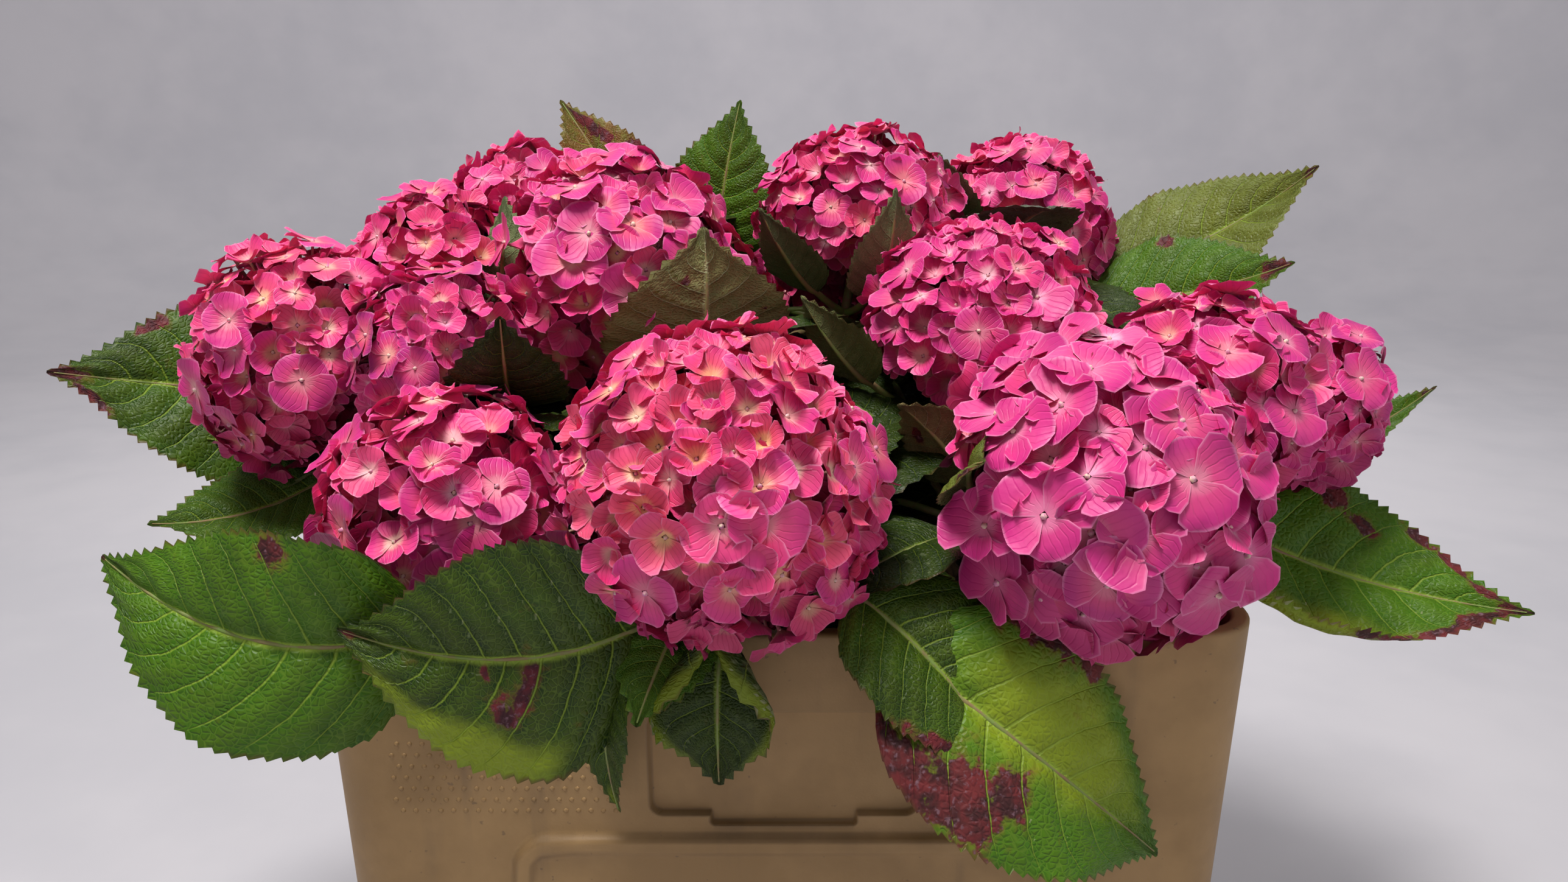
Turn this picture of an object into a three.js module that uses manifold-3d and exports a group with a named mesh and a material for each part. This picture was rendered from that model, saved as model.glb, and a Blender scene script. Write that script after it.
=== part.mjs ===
// A mophead hydrangea shrub rooted in a rectangular flower container.
// Millimetres, +Z up. The origin is the centre of the container's flat underside,
// +X runs along the container's long side and -Y is its front.

import * as THREE from 'three';
import { ConvexHull } from 'three/addons/math/ConvexHull.js';
import { mergeVertices } from 'three/addons/utils/BufferGeometryUtils.js';
import Module from 'manifold-3d';

const wasm = await Module();
wasm.setup();

// Clearance between pieces that touch
const GAP = 0.3;

// Container
const RIM_HEIGHT = 330;
const RIM_LENGTH = 402;
const RIM_DEPTH = 302;
const WALL = 5;
const RIM_WIDTH = 8;
const RIM_FOLD = 14;
const RIM_EDGE = 2;
const RIM_EDGE_MIDDLE = 0.6;
const DRAFT = 0.026;
const CORNER_RADIUS = 28;
const CORNER_STEPS = 3;
const FOOT_CHAMFER = 3;

// Raised panel and label recess on the front and the back of the container
const PANEL = { halfWidth: 120, top: -94, bottom: -296, corner: 14, bevel: 3, sink: 1.5 };
const LABEL = { halfWidth: 58, top: -36, bottom: -86, corner: 6, depth: 2.6 };
const LABEL_TAB = { halfWidth: 32, drop: 5 };

// Potting compost and the woody stool that all the canes spring from
const COMPOST_BELOW_RIM = 35;
const COMPOST_DIP = 5;
const COMPOST_SLOPE = 15;
const STOOL_HEIGHT = 12;
const STOOL_HALF_LENGTH = 92;
const STOOL_HALF_WIDTH = 47;
const STOOL_SIDES = 18;
const STOOL_TAPER = 0.86;
const STOOL_SWELLS = [
  { waves: 3, swell: 0.05 },
  { waves: 7, swell: 0.035 },
];

// Canes, leafy stems and flower stalks
const CANE_FOOT_RADIUS = 4.6;
const CANE_TIP_RADIUS = 3.6;
const CANE_BOW = 0.05;
const CANE_STEPS = 4;
const STEM_RADIUS = 3.4;
const STEM_LENGTH = 38;
const STEM_TAPER = 0.94;
const STALK_RADIUS = 3;
const STALK_LENGTH = 14;
const STALK_TOP = 0.2;
const FIRST_NODE = 8;
const NODE_SPACING = 10;
const TUBE_SIDES = 7;
// All the canes fan out from one point below the stool
const FAN_DEPTH = 60;
const FOOT_SPREAD = 0.9;

// Flower heads
const FLORET_SPACING = 44;
const FLORET_TURN = 1.9;
const HEAD_SPREAD = 114;
const UNDERSIDE = 0.45;
const SEPAL_TIP = 0.46;
const SEPAL_NOTCH = 0.34;
const FLORET_DISH = 0.06;
const VALLEY_DEPTH = 0.17;
const STEM_ROOM = 0.6;
const CORE_SHARE = 0.67;

// Leaves
const LEAF_THICKNESS = 1.7;
const LEAF_FOLD = 14;
const PETIOLE_HALF_WIDTH = 1.8;
const BLADE = [
  { along: 0, half: 0.05 },
  { along: 0.14, half: 0.8 },
  { along: 0.4, half: 1 },
  { along: 0.72, half: 0.62 },
  { along: 1, half: 0.02 },
];

// Turns and lifts, in degrees, that a leaf tries in order until it touches nothing
const NUDGES = [
  [0, 0], [0, -6], [6, 0], [-6, 0], [0, 6], [8, -8], [-8, -8],
  [0, -14], [14, -6], [-14, -6], [0, 14], [20, -14], [-20, -14],
];

// Each shoot: the middle of its flower head from the middle of the rim, the head's
// radius, how tall the head is for its width, and its leaves. A leaf goes out from
// its stem at a heading (0 is the front, 90 the right) and a rise, in degrees, and
// reaches its tip after reach mm. blade and wide are the blade's size. The midrib
// bows by a share of the reach, and the leaf is rolled about its own line and
// twists from there to its tip. Leaves stand in pairs down the stem, in the order
// of their rows unless a row names its pair.
const SHOOTS = [
  {
    name: 'front', head: [-25, -150, 62], radius: 66,
    leaves: [
      { heading: -66, rise: -5, reach: 170, blade: 126, wide: 102, bow: 0.24, roll: -114, twist: 30 },
      { heading: 60, rise: -32, reach: 154, blade: 106, wide: 64, bow: 0.2, roll: 30 },
      { heading: -42, rise: -52, reach: 128, blade: 88, wide: 34, bow: 0.34, roll: 0 },
      { heading: 72, rise: -33, reach: 222, blade: 160, wide: 94, bow: 0.22, roll: 60, twist: -20 },
      { heading: -8, rise: -44, reach: 108, blade: 80, wide: 74, bow: 0.36, roll: 0 },
      { heading: -25, rise: -22, reach: 108, blade: 56, wide: 44, bow: 0.2, roll: -10 },
    ],
  },
  {
    name: 'front_left', head: [-146, -107, 39], radius: 55,
    leaves: [
      { heading: -70, rise: 5, reach: 180, blade: 156, wide: 89, bow: 0.38, roll: -106, twist: 35 },
      { heading: 130, rise: 20, reach: 80, blade: 52, wide: 40, bow: 0.1, roll: 0 },
    ],
  },
  {
    name: 'front_right', head: [128, -133, 55], radius: 66,
    leaves: [
      { heading: -16, rise: 32, reach: 110, blade: 62, wide: 32, bow: 0.12, roll: 60 },
      { heading: -91, rise: 51, reach: 76, blade: 54, wide: 42, bow: 0.1, roll: 60 },
      { heading: -112, rise: -4, reach: 124, blade: 88, wide: 66, bow: 0.14, roll: 0 },
      { heading: 150, rise: 0, reach: 116, blade: 84, wide: 60, bow: 0.12, roll: 0 },
    ],
  },
  {
    name: 'left', head: [-241, -14, 89], radius: 55, tall: 1.13,
    leaves: [
      { heading: -66, rise: -22, reach: 126, blade: 94, wide: 66, bow: -0.2, roll: -26 },
      { heading: -116, rise: -34, reach: 128, blade: 94, wide: 66, bow: -0.1, roll: 0 },
    ],
  },
  {
    name: 'left_inner', head: [-165, -37, 94], radius: 46,
    leaves: [
      { heading: -170, rise: 69, reach: 110, blade: 62, wide: 30, bow: -0.04, roll: 150 },
      { heading: 10, rise: 41, reach: 88, blade: 60, wide: 54, bow: 0.16, roll: 180 },
    ],
  },
  {
    name: 'left_upper', head: [-179, 21, 128], radius: 44,
    leaves: [
      { heading: -150, rise: -6, reach: 104, blade: 72, wide: 48, bow: 0.1, roll: 0 },
    ],
  },
  {
    name: 'back_left', head: [-146, 85, 143], radius: 50,
    leaves: [
      { heading: -168, rise: -12, reach: 118, blade: 88, wide: 58, bow: 0.12, roll: 0 },
    ],
  },
  {
    name: 'top_left', head: [-86, 10, 124], radius: 65,
    leaves: [
      { heading: 26, rise: 53, reach: 100, blade: 84, wide: 96, bow: -0.3, roll: 0 },
      { heading: 146, rise: -8, reach: 116, blade: 84, wide: 62, bow: 0.14, roll: 0 },
      { heading: -20, rise: -16, reach: 108, blade: 78, wide: 56, bow: 0.14, roll: 0 },
    ],
  },
  {
    name: 'top', head: [44, 84, 144], radius: 59,
    leaves: [
      { heading: -49, rise: 45, reach: 88, blade: 62, wide: 34, bow: -0.1, roll: 20 },
      { heading: 23, rise: 52, reach: 92, blade: 70, wide: 38, bow: -0.2, roll: 0 },
      { heading: -112, rise: -6, reach: 116, blade: 84, wide: 62, bow: 0.14, roll: 0 },
      { heading: 104, rise: -14, reach: 110, blade: 80, wide: 60, bow: 0.14, roll: 0 },
    ],
  },
  {
    name: 'top_right', head: [146, 143, 140], radius: 56,
    leaves: [
      { heading: 85, rise: 22, reach: 198, blade: 138, wide: 84, bow: -0.16, roll: 45 },
      { heading: -44, rise: 59, reach: 95, blade: 58, wide: 32, bow: 0, roll: 0 },
      { heading: 74, rise: 10, reach: 178, blade: 118, wide: 78, bow: -0.12, roll: 50 },
      { heading: 178, rise: -22, reach: 132, blade: 96, wide: 66, bow: 0.16, roll: 0 },
    ],
  },
  {
    name: 'inner_right', head: [98, -16, 100], radius: 60,
    leaves: [
      { heading: -77, rise: 45, reach: 92, blade: 58, wide: 46, bow: -0.1, roll: 30 },
      { heading: -56, rise: -14, reach: 100, blade: 70, wide: 50, bow: 0.14, roll: 0 },
      { heading: 128, rise: -10, reach: 112, blade: 82, wide: 60, bow: 0.14, roll: 0 },
    ],
  },
  {
    name: 'right', head: [207, -40, 72], radius: 56,
    leaves: [
      { heading: 80, rise: -14, reach: 214, blade: 170, wide: 104, bow: -0.14, roll: 40 },
    ],
  },
  {
    name: 'right_end', head: [266, -4, 64], radius: 44,
    leaves: [
      { heading: 134, rise: -42, reach: 124, blade: 90, wide: 64, bow: 0.12, roll: 0 },
    ],
  },
  {
    name: 'back_right', head: [218, 97, 59], radius: 52,
    leaves: [
      { heading: 70, rise: 8, reach: 186, blade: 110, wide: 52, bow: -0.24, roll: 20 },
      { heading: 156, rise: -38, reach: 138, blade: 102, wide: 74, bow: 0.2, roll: 0 },
    ],
  },
  {
    name: 'back_low', head: [-57, 168, 104], radius: 55,
    leaves: [
      { heading: 46, rise: 79, reach: 148, blade: 98, wide: 64, bow: 0.1, roll: 120 },
      { heading: -86, rise: 59, reach: 170, blade: 104, wide: 56, bow: 0.1, roll: -80 },
      { heading: 196, rise: -40, reach: 142, blade: 106, wide: 76, bow: 0.24, roll: 0 },
      { heading: -42, rise: 2, reach: 112, blade: 80, wide: 58, bow: 0.12, roll: 0 },
    ],
  },
  {
    name: 'back', head: [43, 178, 100], radius: 55,
    leaves: [
      { heading: 142, rise: -42, reach: 148, blade: 110, wide: 80, bow: 0.24, roll: 0 },
      { heading: 215, rise: -40, reach: 139, blade: 102, wide: 74, bow: 0.24, roll: 0 },
    ],
  },
  {
    name: 'left_back', head: [-223, 97, 66], radius: 53,
    leaves: [
      { heading: -70, rise: 10, reach: 214, blade: 150, wide: 108, bow: -0.04, roll: -60 },
      { heading: -66, rise: 17, reach: 190, blade: 118, wide: 66, bow: -0.14, roll: -30 },
      { heading: -158, rise: -38, reach: 138, blade: 102, wide: 76, bow: 0.2, roll: 0 },
    ],
  },
];

const COLOURS = {
  plastic: { color: 0xb59a72, roughness: 0.62, metalness: 0 },
  compost: { color: 0x33241a, roughness: 0.95, metalness: 0 },
  bark: { color: 0x6d5a3c, roughness: 0.85, metalness: 0 },
  leaf: { color: 0x4f8a2c, roughness: 0.5, metalness: 0 },
  bloom: { color: 0xe0498f, roughness: 0.55, metalness: 0 },
};

const UP = new THREE.Vector3(0, 0, 1);
const FLORET_ASKEW = new THREE.Vector3(0.31, 0.52, 0.8);
const RIM_MIDDLE = new THREE.Vector3(0, 0, RIM_HEIGHT);
const FAN_POINT = new THREE.Vector3(0, 0, RIM_HEIGHT - FAN_DEPTH);
const COMPOST_TOP = RIM_HEIGHT - COMPOST_BELOW_RIM;
const STOOL_TOP = COMPOST_TOP + GAP + STOOL_HEIGHT;

// Solids

function toSolid(geometry) {
  const bare = geometry.index ? geometry.clone() : geometry;
  bare.deleteAttribute('normal');
  bare.deleteAttribute('uv');
  const merged = mergeVertices(bare, 1e-4);
  return new wasm.Manifold(new wasm.Mesh({
    numProp: 3,
    vertProperties: new Float32Array(merged.attributes.position.array),
    triVerts: new Uint32Array(merged.index.array),
  }));
}

function toGeometry(solid) {
  const mesh = solid.getMesh();
  const geometry = new THREE.BufferGeometry();
  geometry.setAttribute('position', new THREE.BufferAttribute(mesh.vertProperties, 3));
  geometry.setIndex(new THREE.BufferAttribute(mesh.triVerts, 1));
  geometry.computeVertexNormals();
  return geometry;
}

// A closed skin over rings of points. Each ring runs anticlockwise seen from the
// side that the rings move towards, and the first and last rings are capped.
function skin(rings) {
  const count = rings[0].length;
  const index = [];
  for (let ring = 0; ring + 1 < rings.length; ring += 1) {
    for (let k = 0; k < count; k += 1) {
      const here = ring * count + k;
      const next = ring * count + (k + 1) % count;
      index.push(here, next, next + count);
      index.push(here, next + count, here + count);
    }
  }
  const last = (rings.length - 1) * count;
  for (let k = 1; k + 1 < count; k += 1) {
    index.push(0, k + 1, k);
    index.push(last, last + k, last + k + 1);
  }
  const geometry = new THREE.BufferGeometry().setFromPoints(rings.flat());
  geometry.setIndex(index);
  return geometry;
}

function roundedRing(length, depth, radius, height) {
  const ring = [];
  for (let corner = 0; corner < 4; corner += 1) {
    const sx = corner === 0 || corner === 3 ? 1 : -1;
    const sy = corner < 2 ? 1 : -1;
    for (let step = 0; step <= CORNER_STEPS; step += 1) {
      const turn = (corner + step / CORNER_STEPS) * Math.PI / 2;
      ring.push(new THREE.Vector3(
        sx * (length / 2 - radius) + radius * Math.cos(turn),
        sy * (depth / 2 - radius) + radius * Math.sin(turn),
        height,
      ));
    }
  }
  return ring;
}

function bodyRing(inset, height) {
  const draft = (RIM_HEIGHT - height) * DRAFT + inset;
  return roundedRing(
    RIM_LENGTH - 2 * draft,
    RIM_DEPTH - 2 * draft,
    CORNER_RADIUS - inset,
    height,
  );
}

// A round tube along a curve that stays in one upright plane. side is the
// horizontal direction square to that plane.
function tube(curve, side, startRadius, endRadius, steps) {
  const geometry = new THREE.CylinderGeometry(1, 1, 1, TUBE_SIDES, steps);
  const place = geometry.attributes.position;
  for (let i = 0; i < place.count; i += 1) {
    const share = place.getY(i) + 0.5;
    const radius = THREE.MathUtils.lerp(startRadius, endRadius, share);
    const tangent = curve.getTangent(share);
    const other = side.clone().cross(tangent);
    const point = curve.getPoint(share);
    point.addScaledVector(side, place.getX(i) * radius);
    point.addScaledVector(other, place.getZ(i) * radius);
    place.setXYZ(i, point.x, point.y, point.z);
  }
  return geometry;
}

// Container, compost and stool

function roundedPlate(halfWidth, bottom, top, corner, thickness, bevel) {
  const shape = new THREE.Shape();
  shape.moveTo(-halfWidth + corner, bottom);
  shape.lineTo(halfWidth - corner, bottom);
  shape.absarc(halfWidth - corner, bottom + corner, corner, -Math.PI / 2, 0);
  shape.lineTo(halfWidth, top - corner);
  shape.absarc(halfWidth - corner, top - corner, corner, 0, Math.PI / 2);
  shape.lineTo(-halfWidth + corner, top);
  shape.absarc(-halfWidth + corner, top - corner, corner, Math.PI / 2, Math.PI);
  shape.lineTo(-halfWidth, bottom + corner);
  shape.absarc(-halfWidth + corner, bottom + corner, corner, Math.PI, Math.PI * 1.5);
  return new THREE.ExtrudeGeometry(shape, {
    depth: thickness,
    steps: 1,
    curveSegments: CORNER_STEPS,
    bevelEnabled: bevel > 0,
    bevelThickness: bevel,
    bevelSize: bevel,
    bevelOffset: -bevel,
    bevelSegments: 1,
  });
}

// Stands a plate, drawn from the rim down, against the sloping front or back wall.
// sink is how deep the plate's inner face lies in the wall.
function onWall(geometry, facing, sink) {
  geometry.translate(0, 0, -sink);
  geometry.rotateX(Math.PI / 2 + Math.atan(DRAFT));
  geometry.translate(0, -RIM_DEPTH / 2, RIM_HEIGHT);
  if (facing > 0) {
    geometry.rotateZ(Math.PI);
  }
  return toSolid(geometry);
}

function containerSolid() {
  const outer = [
    bodyRing(FOOT_CHAMFER, 0),
    bodyRing(0, FOOT_CHAMFER),
    bodyRing(0, RIM_HEIGHT - RIM_EDGE),
    bodyRing(RIM_EDGE_MIDDLE, RIM_HEIGHT - RIM_EDGE_MIDDLE),
    bodyRing(RIM_EDGE, RIM_HEIGHT),
  ];
  const inner = [
    bodyRing(RIM_WIDTH - RIM_EDGE, RIM_HEIGHT),
    bodyRing(RIM_WIDTH, RIM_HEIGHT - RIM_EDGE),
    bodyRing(RIM_WIDTH, RIM_HEIGHT - RIM_FOLD),
    bodyRing(WALL, RIM_HEIGHT - RIM_FOLD - RIM_EDGE),
    bodyRing(WALL, WALL),
  ];
  let solid = toSolid(skin([...outer, ...inner]));
  for (const facing of [-1, 1]) {
    const panel = roundedPlate(
      PANEL.halfWidth, PANEL.bottom, PANEL.top, PANEL.corner, PANEL.sink, PANEL.bevel,
    );
    solid = solid.add(onWall(panel, facing, PANEL.sink));
    const label = roundedPlate(
      LABEL.halfWidth, LABEL.bottom, LABEL.top, LABEL.corner, WALL, 0,
    );
    solid = solid.subtract(onWall(label, facing, LABEL.depth));
    const tab = roundedPlate(
      LABEL_TAB.halfWidth, LABEL.bottom - LABEL_TAB.drop, LABEL.bottom + LABEL.corner,
      LABEL_TAB.drop / 2, WALL, 0,
    );
    solid = solid.subtract(onWall(tab, facing, LABEL.depth));
  }
  return solid;
}

function compostSolid() {
  const clear = WALL + GAP;
  const edge = COMPOST_TOP - COMPOST_DIP;
  return toSolid(skin([
    bodyRing(clear, clear),
    bodyRing(clear, edge),
    bodyRing(clear + COMPOST_SLOPE, COMPOST_TOP),
  ]));
}

function stoolSolid() {
  const geometry = new THREE.CylinderGeometry(STOOL_TAPER, 1, STOOL_HEIGHT, STOOL_SIDES, 2);
  geometry.rotateX(Math.PI / 2);
  const place = geometry.attributes.position;
  for (let i = 0; i < place.count; i += 1) {
    const turn = Math.atan2(place.getY(i), place.getX(i));
    let out = 1;
    for (const { waves, swell } of STOOL_SWELLS) {
      out += swell * Math.sin(waves * turn);
    }
    place.setXYZ(
      i,
      place.getX(i) * STOOL_HALF_LENGTH * out,
      place.getY(i) * STOOL_HALF_WIDTH * out,
      place.getZ(i) + STOOL_TOP - STOOL_HEIGHT / 2,
    );
  }
  return toSolid(geometry);
}

// Shoots

// The line of a shoot, from the stool through the cane, the leafy stem and the
// stalk to the middle of the flower head.
function shootLine(shoot) {
  const head = new THREE.Vector3(...shoot.head).add(RIM_MIDDLE);
  const axis = head.clone().sub(FAN_POINT).normalize();
  const side = new THREE.Vector3(axis.x, axis.y, 0).normalize().cross(UP);
  const underside = UNDERSIDE * shoot.radius;
  const at = (distance) => head.clone().addScaledVector(axis, -distance);
  const stalkEnd = underside + STALK_LENGTH;
  const stemTop = stalkEnd + GAP;
  const stemFoot = stemTop + STEM_LENGTH;
  const caneTip = stemFoot + GAP;
  const rise = STOOL_TOP + GAP - FAN_POINT.z;
  const foot = new THREE.Vector3(axis.x, axis.y, 0).multiplyScalar(
    FOOT_SPREAD * rise / axis.z,
  );
  foot.z = STOOL_TOP + GAP;
  return { head, axis, side, underside, at, stalkEnd, stemTop, stemFoot, caneTip, foot };
}

function straight(from, to) {
  return new THREE.LineCurve3(from, to);
}

function caneSolid(line, room = 0) {
  const tip = line.at(line.caneTip);
  const span = tip.distanceTo(line.foot);
  const pull = tip.clone().addScaledVector(line.axis, -span / 2);
  pull.addScaledVector(UP, CANE_BOW * span);
  const curve = new THREE.QuadraticBezierCurve3(line.foot, pull, tip);
  const footRadius = CANE_FOOT_RADIUS + room;
  const geometry = tube(curve, line.side, footRadius, CANE_TIP_RADIUS + room, CANE_STEPS);
  const place = geometry.attributes.position;
  const start = curve.getTangent(0);
  const nearFoot = footRadius * 1.01;
  const point = new THREE.Vector3();
  for (let i = 0; i < place.count; i += 1) {
    point.fromBufferAttribute(place, i);
    if (point.distanceTo(line.foot) < nearFoot) {
      point.addScaledVector(start, (line.foot.z - point.z) / start.z);
      place.setXYZ(i, point.x, point.y, point.z);
    }
  }
  return toSolid(geometry);
}

function stemSolid(line, radius = STEM_RADIUS) {
  const curve = straight(line.at(line.stemFoot), line.at(line.stemTop));
  return toSolid(tube(curve, line.side, radius, radius * STEM_TAPER, 1));
}

// Evenly spread directions over the part of a ball within spread degrees of an axis,
// each with the share of the ball that a six-sided cell of this spacing takes.
function spreadDirections(axis, spacing, radius, spread) {
  const low = Math.cos(spread * Math.PI / 180);
  const area = 2 * Math.PI * radius * radius * (1 - low);
  const count = Math.round(area / (Math.sqrt(0.75) * spacing * spacing));
  const turn = new THREE.Quaternion().setFromUnitVectors(UP, axis);
  const golden = Math.PI * (3 - Math.sqrt(5));
  const directions = [];
  for (let i = 0; i < count; i += 1) {
    const z = 1 - (1 - low) * (i + 0.5) / count;
    const across = Math.sqrt(1 - z * z);
    const direction = new THREE.Vector3(
      across * Math.cos(i * golden),
      across * Math.sin(i * golden),
      z,
    );
    directions.push(direction.applyQuaternion(turn));
  }
  return directions;
}

// The four-sepalled outline of a floret, as eight directions about its middle.
function floretOutline(middle, reach, turn) {
  const across = FLORET_ASKEW.clone().cross(middle).normalize();
  const up = middle.clone().cross(across);
  const outline = [];
  for (let k = 0; k < 8; k += 1) {
    const angle = turn + k * Math.PI / 4;
    const out = (k % 2 ? SEPAL_NOTCH : SEPAL_TIP) * reach;
    const direction = middle.clone();
    direction.addScaledVector(across, out * Math.cos(angle));
    direction.addScaledVector(up, out * Math.sin(angle));
    outline.push(direction.normalize());
  }
  return outline;
}

// A flower head: florets with their sepal tips on the outside, hollows between
// them, a flat underside, and a flat face towards each head that it presses on and
// towards the container's rim.
function headSolid(shoot, line, lines, share) {
  const { radius } = shoot;
  const tall = shoot.tall ?? 1;
  const middles = spreadDirections(line.axis, FLORET_SPACING, radius, HEAD_SPREAD);
  const points = [];
  middles.forEach((middle, k) => {
    points.push({ direction: middle, out: 1 - FLORET_DISH });
    for (const direction of floretOutline(middle, FLORET_SPACING / radius, k * FLORET_TURN)) {
      points.push({ direction, out: 1 });
    }
  });
  const below = line.axis.clone().negate();
  points.push({ direction: below, out: 1 - VALLEY_DEPTH });
  for (const face of new ConvexHull().setFromPoints([...middles, below]).faces) {
    points.push({ direction: face.normal.clone(), out: 1 - VALLEY_DEPTH });
  }
  const planes = [
    { normal: below, reach: line.underside },
    { normal: UP.clone().negate(), reach: shoot.head[2] - GAP },
  ];
  SHOOTS.forEach((other, k) => {
    const towards = lines[k].head.clone().sub(line.head);
    const apart = towards.length();
    if (other !== shoot && apart < radius + other.radius + FLORET_SPACING) {
      const reach = (apart * apart + radius ** 2 - other.radius ** 2) / (2 * apart);
      planes.push({ normal: towards.normalize(), reach: reach - GAP });
    }
  });
  for (const point of points) {
    let out = radius * point.out;
    out *= 1 + (tall - 1) * point.direction.z ** 2;
    for (const plane of planes) {
      const lean = point.direction.dot(plane.normal);
      if (lean > 0) {
        out = Math.min(out, plane.reach / lean);
      }
    }
    point.place = line.head.clone().addScaledVector(point.direction, out * share);
  }
  // The hull of the bare directions joins each one to its true neighbours
  const hull = new ConvexHull().setFromPoints(points.map((point) => point.direction));
  const placeOf = new Map(points.map((point) => [point.direction, point.place]));
  const corners = [];
  for (const face of hull.faces) {
    let edge = face.edge;
    const loop = [];
    do {
      loop.push(placeOf.get(edge.head().point));
      edge = edge.next;
    } while (edge !== face.edge);
    for (let k = 1; k + 1 < loop.length; k += 1) {
      corners.push(loop[0], loop[k], loop[k + 1]);
    }
  }
  return toSolid(new THREE.BufferGeometry().setFromPoints(corners));
}

// Leaves

// A leaf, or with clear its room: the leaf and the clearance it keeps on all sides.
function leafSolid(root, leaf, clear = 0) {
  const turn = THREE.MathUtils.degToRad(leaf.heading);
  const rise = THREE.MathUtils.degToRad(leaf.rise);
  const along = new THREE.Vector3(
    Math.cos(rise) * Math.sin(turn),
    -Math.cos(rise) * Math.cos(turn),
    Math.sin(rise),
  );
  const face = new THREE.Vector3(
    -Math.sin(rise) * Math.sin(turn),
    Math.sin(rise) * Math.cos(turn),
    Math.cos(rise),
  );
  face.applyAxisAngle(along, THREE.MathUtils.degToRad(leaf.roll));
  const side = along.clone().cross(face);
  const tip = root.clone().addScaledVector(along, leaf.reach);
  const bend = root.clone().lerp(tip, 0.5).addScaledVector(face, 2 * leaf.bow * leaf.reach);
  const midrib = new THREE.QuadraticBezierCurve3(root, bend, tip);
  const petiole = 1 - leaf.blade / midrib.getLength();
  const stations = [{ at: 0, half: PETIOLE_HALF_WIDTH + 2 * clear }];
  for (const { along: share, half } of BLADE) {
    stations.push({
      at: petiole + share * (1 - petiole),
      half: Math.max(PETIOLE_HALF_WIDTH * (1 - share), half * leaf.wide / 2) + 2 * clear,
    });
  }
  const thickness = LEAF_THICKNESS + 3 * clear;
  const fold = Math.tan(THREE.MathUtils.degToRad(LEAF_FOLD));
  const twist = THREE.MathUtils.degToRad(leaf.twist ?? 0);
  const steps = stations.length - 1;
  const geometry = new THREE.BoxGeometry(2, 1, 1, 2, steps, 1);
  const place = geometry.attributes.position;
  for (let i = 0; i < place.count; i += 1) {
    const station = stations[Math.round((place.getY(i) + 0.5) * steps)];
    const tangent = midrib.getTangentAt(station.at);
    const turned = side.clone().applyAxisAngle(tangent, twist * station.at);
    const up = turned.clone().cross(tangent);
    const out = place.getX(i) * station.half;
    const point = midrib.getPointAt(station.at);
    point.addScaledVector(tangent, clear * station.at);
    point.addScaledVector(turned, out);
    point.addScaledVector(up, Math.abs(out) * fold + place.getZ(i) * thickness);
    place.setXYZ(i, point.x, point.y, point.z);
  }
  return toSolid(geometry);
}

function near(a, b) {
  const first = a.boundingBox();
  const second = b.boundingBox();
  return [0, 1, 2].every((k) => first.min[k] < second.max[k] && second.min[k] < first.max[k]);
}

function touches(solid, other) {
  return near(solid, other) && !solid.intersect(other).isEmpty();
}

// A leafy stem: its leaves in pairs, sunk to the middle of the stem. A leaf turns or
// lifts a little to stay clear of the others, and is left out if it can't.
function leafyStem(shoot, line, others) {
  let solid = stemSolid(line);
  const rooms = [];
  shoot.leaves.forEach((leaf, k) => {
    const node = line.stemTop + FIRST_NODE + NODE_SPACING * (leaf.pair ?? Math.floor(k / 2));
    const root = line.at(node);
    for (const [turn, lift] of NUDGES) {
      const grown = { ...leaf, heading: leaf.heading + turn, rise: leaf.rise + lift };
      const room = leafSolid(root, grown, GAP);
      if (!others.some((other) => touches(room, other))) {
        solid = solid.add(leafSolid(root, grown));
        rooms.push(room);
        return;
      }
    }
  });
  return { solid, rooms };
}

// The flower head on its stalk, with its florets parted round what passes through
// its rim. Scraps that the parting leaves loose are dropped.
function bloomSolid(shoot, line, lines, rooms) {
  const stalk = straight(line.at(line.stalkEnd), line.at(shoot.radius * STALK_TOP));
  let solid = headSolid(shoot, line, lines, 1);
  solid = solid.add(toSolid(tube(stalk, line.side, STALK_RADIUS, STALK_RADIUS, 1)));
  for (const room of rooms) {
    if (near(solid, room)) {
      solid = solid.subtract(room);
    }
  }
  const bodies = solid.decompose();
  return bodies.reduce((best, body) => (body.volume() > best.volume() ? body : best));
}

// Assembly

function named(name, solid, colour) {
  const mesh = new THREE.Mesh(
    toGeometry(solid),
    new THREE.MeshStandardMaterial(COLOURS[colour]),
  );
  mesh.name = name;
  return mesh;
}

const group = new THREE.Group();
const container = containerSolid();
const compost = compostSolid();
const stool = stoolSolid();
group.add(named('container', container, 'plastic'));
group.add(named('compost', compost, 'compost'));
group.add(named('stool', stool, 'bark'));

const lines = SHOOTS.map(shootLine);
const canes = lines.map((line) => caneSolid(line));
const stemRooms = lines.map((line) => stemSolid(line, STEM_RADIUS + STEM_ROOM));
const limbRooms = lines.map((line, k) => stemRooms[k].add(caneSolid(line, STEM_ROOM)));
const cores = SHOOTS.map((shoot, k) => headSolid(shoot, lines[k], lines, CORE_SHARE));
const leafy = [];
SHOOTS.forEach((shoot, k) => {
  const grown = leafy.map(({ solid }) => solid);
  const later = stemRooms.slice(k + 1);
  const others = [container, compost, stool, ...canes, ...cores, ...grown, ...later];
  leafy.push(leafyStem(shoot, lines[k], others));
});
const leafRooms = leafy.flatMap(({ rooms }) => rooms);
SHOOTS.forEach((shoot, k) => {
  const otherLimbs = limbRooms.filter((room, other) => other !== k);
  const bloom = bloomSolid(shoot, lines[k], lines, [...otherLimbs, ...leafRooms]);
  group.add(named(`cane_${shoot.name}`, canes[k], 'bark'));
  group.add(named(`leaves_${shoot.name}`, leafy[k].solid, 'leaf'));
  group.add(named(`bloom_${shoot.name}`, bloom, 'bloom'));
});

export default group;
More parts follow.
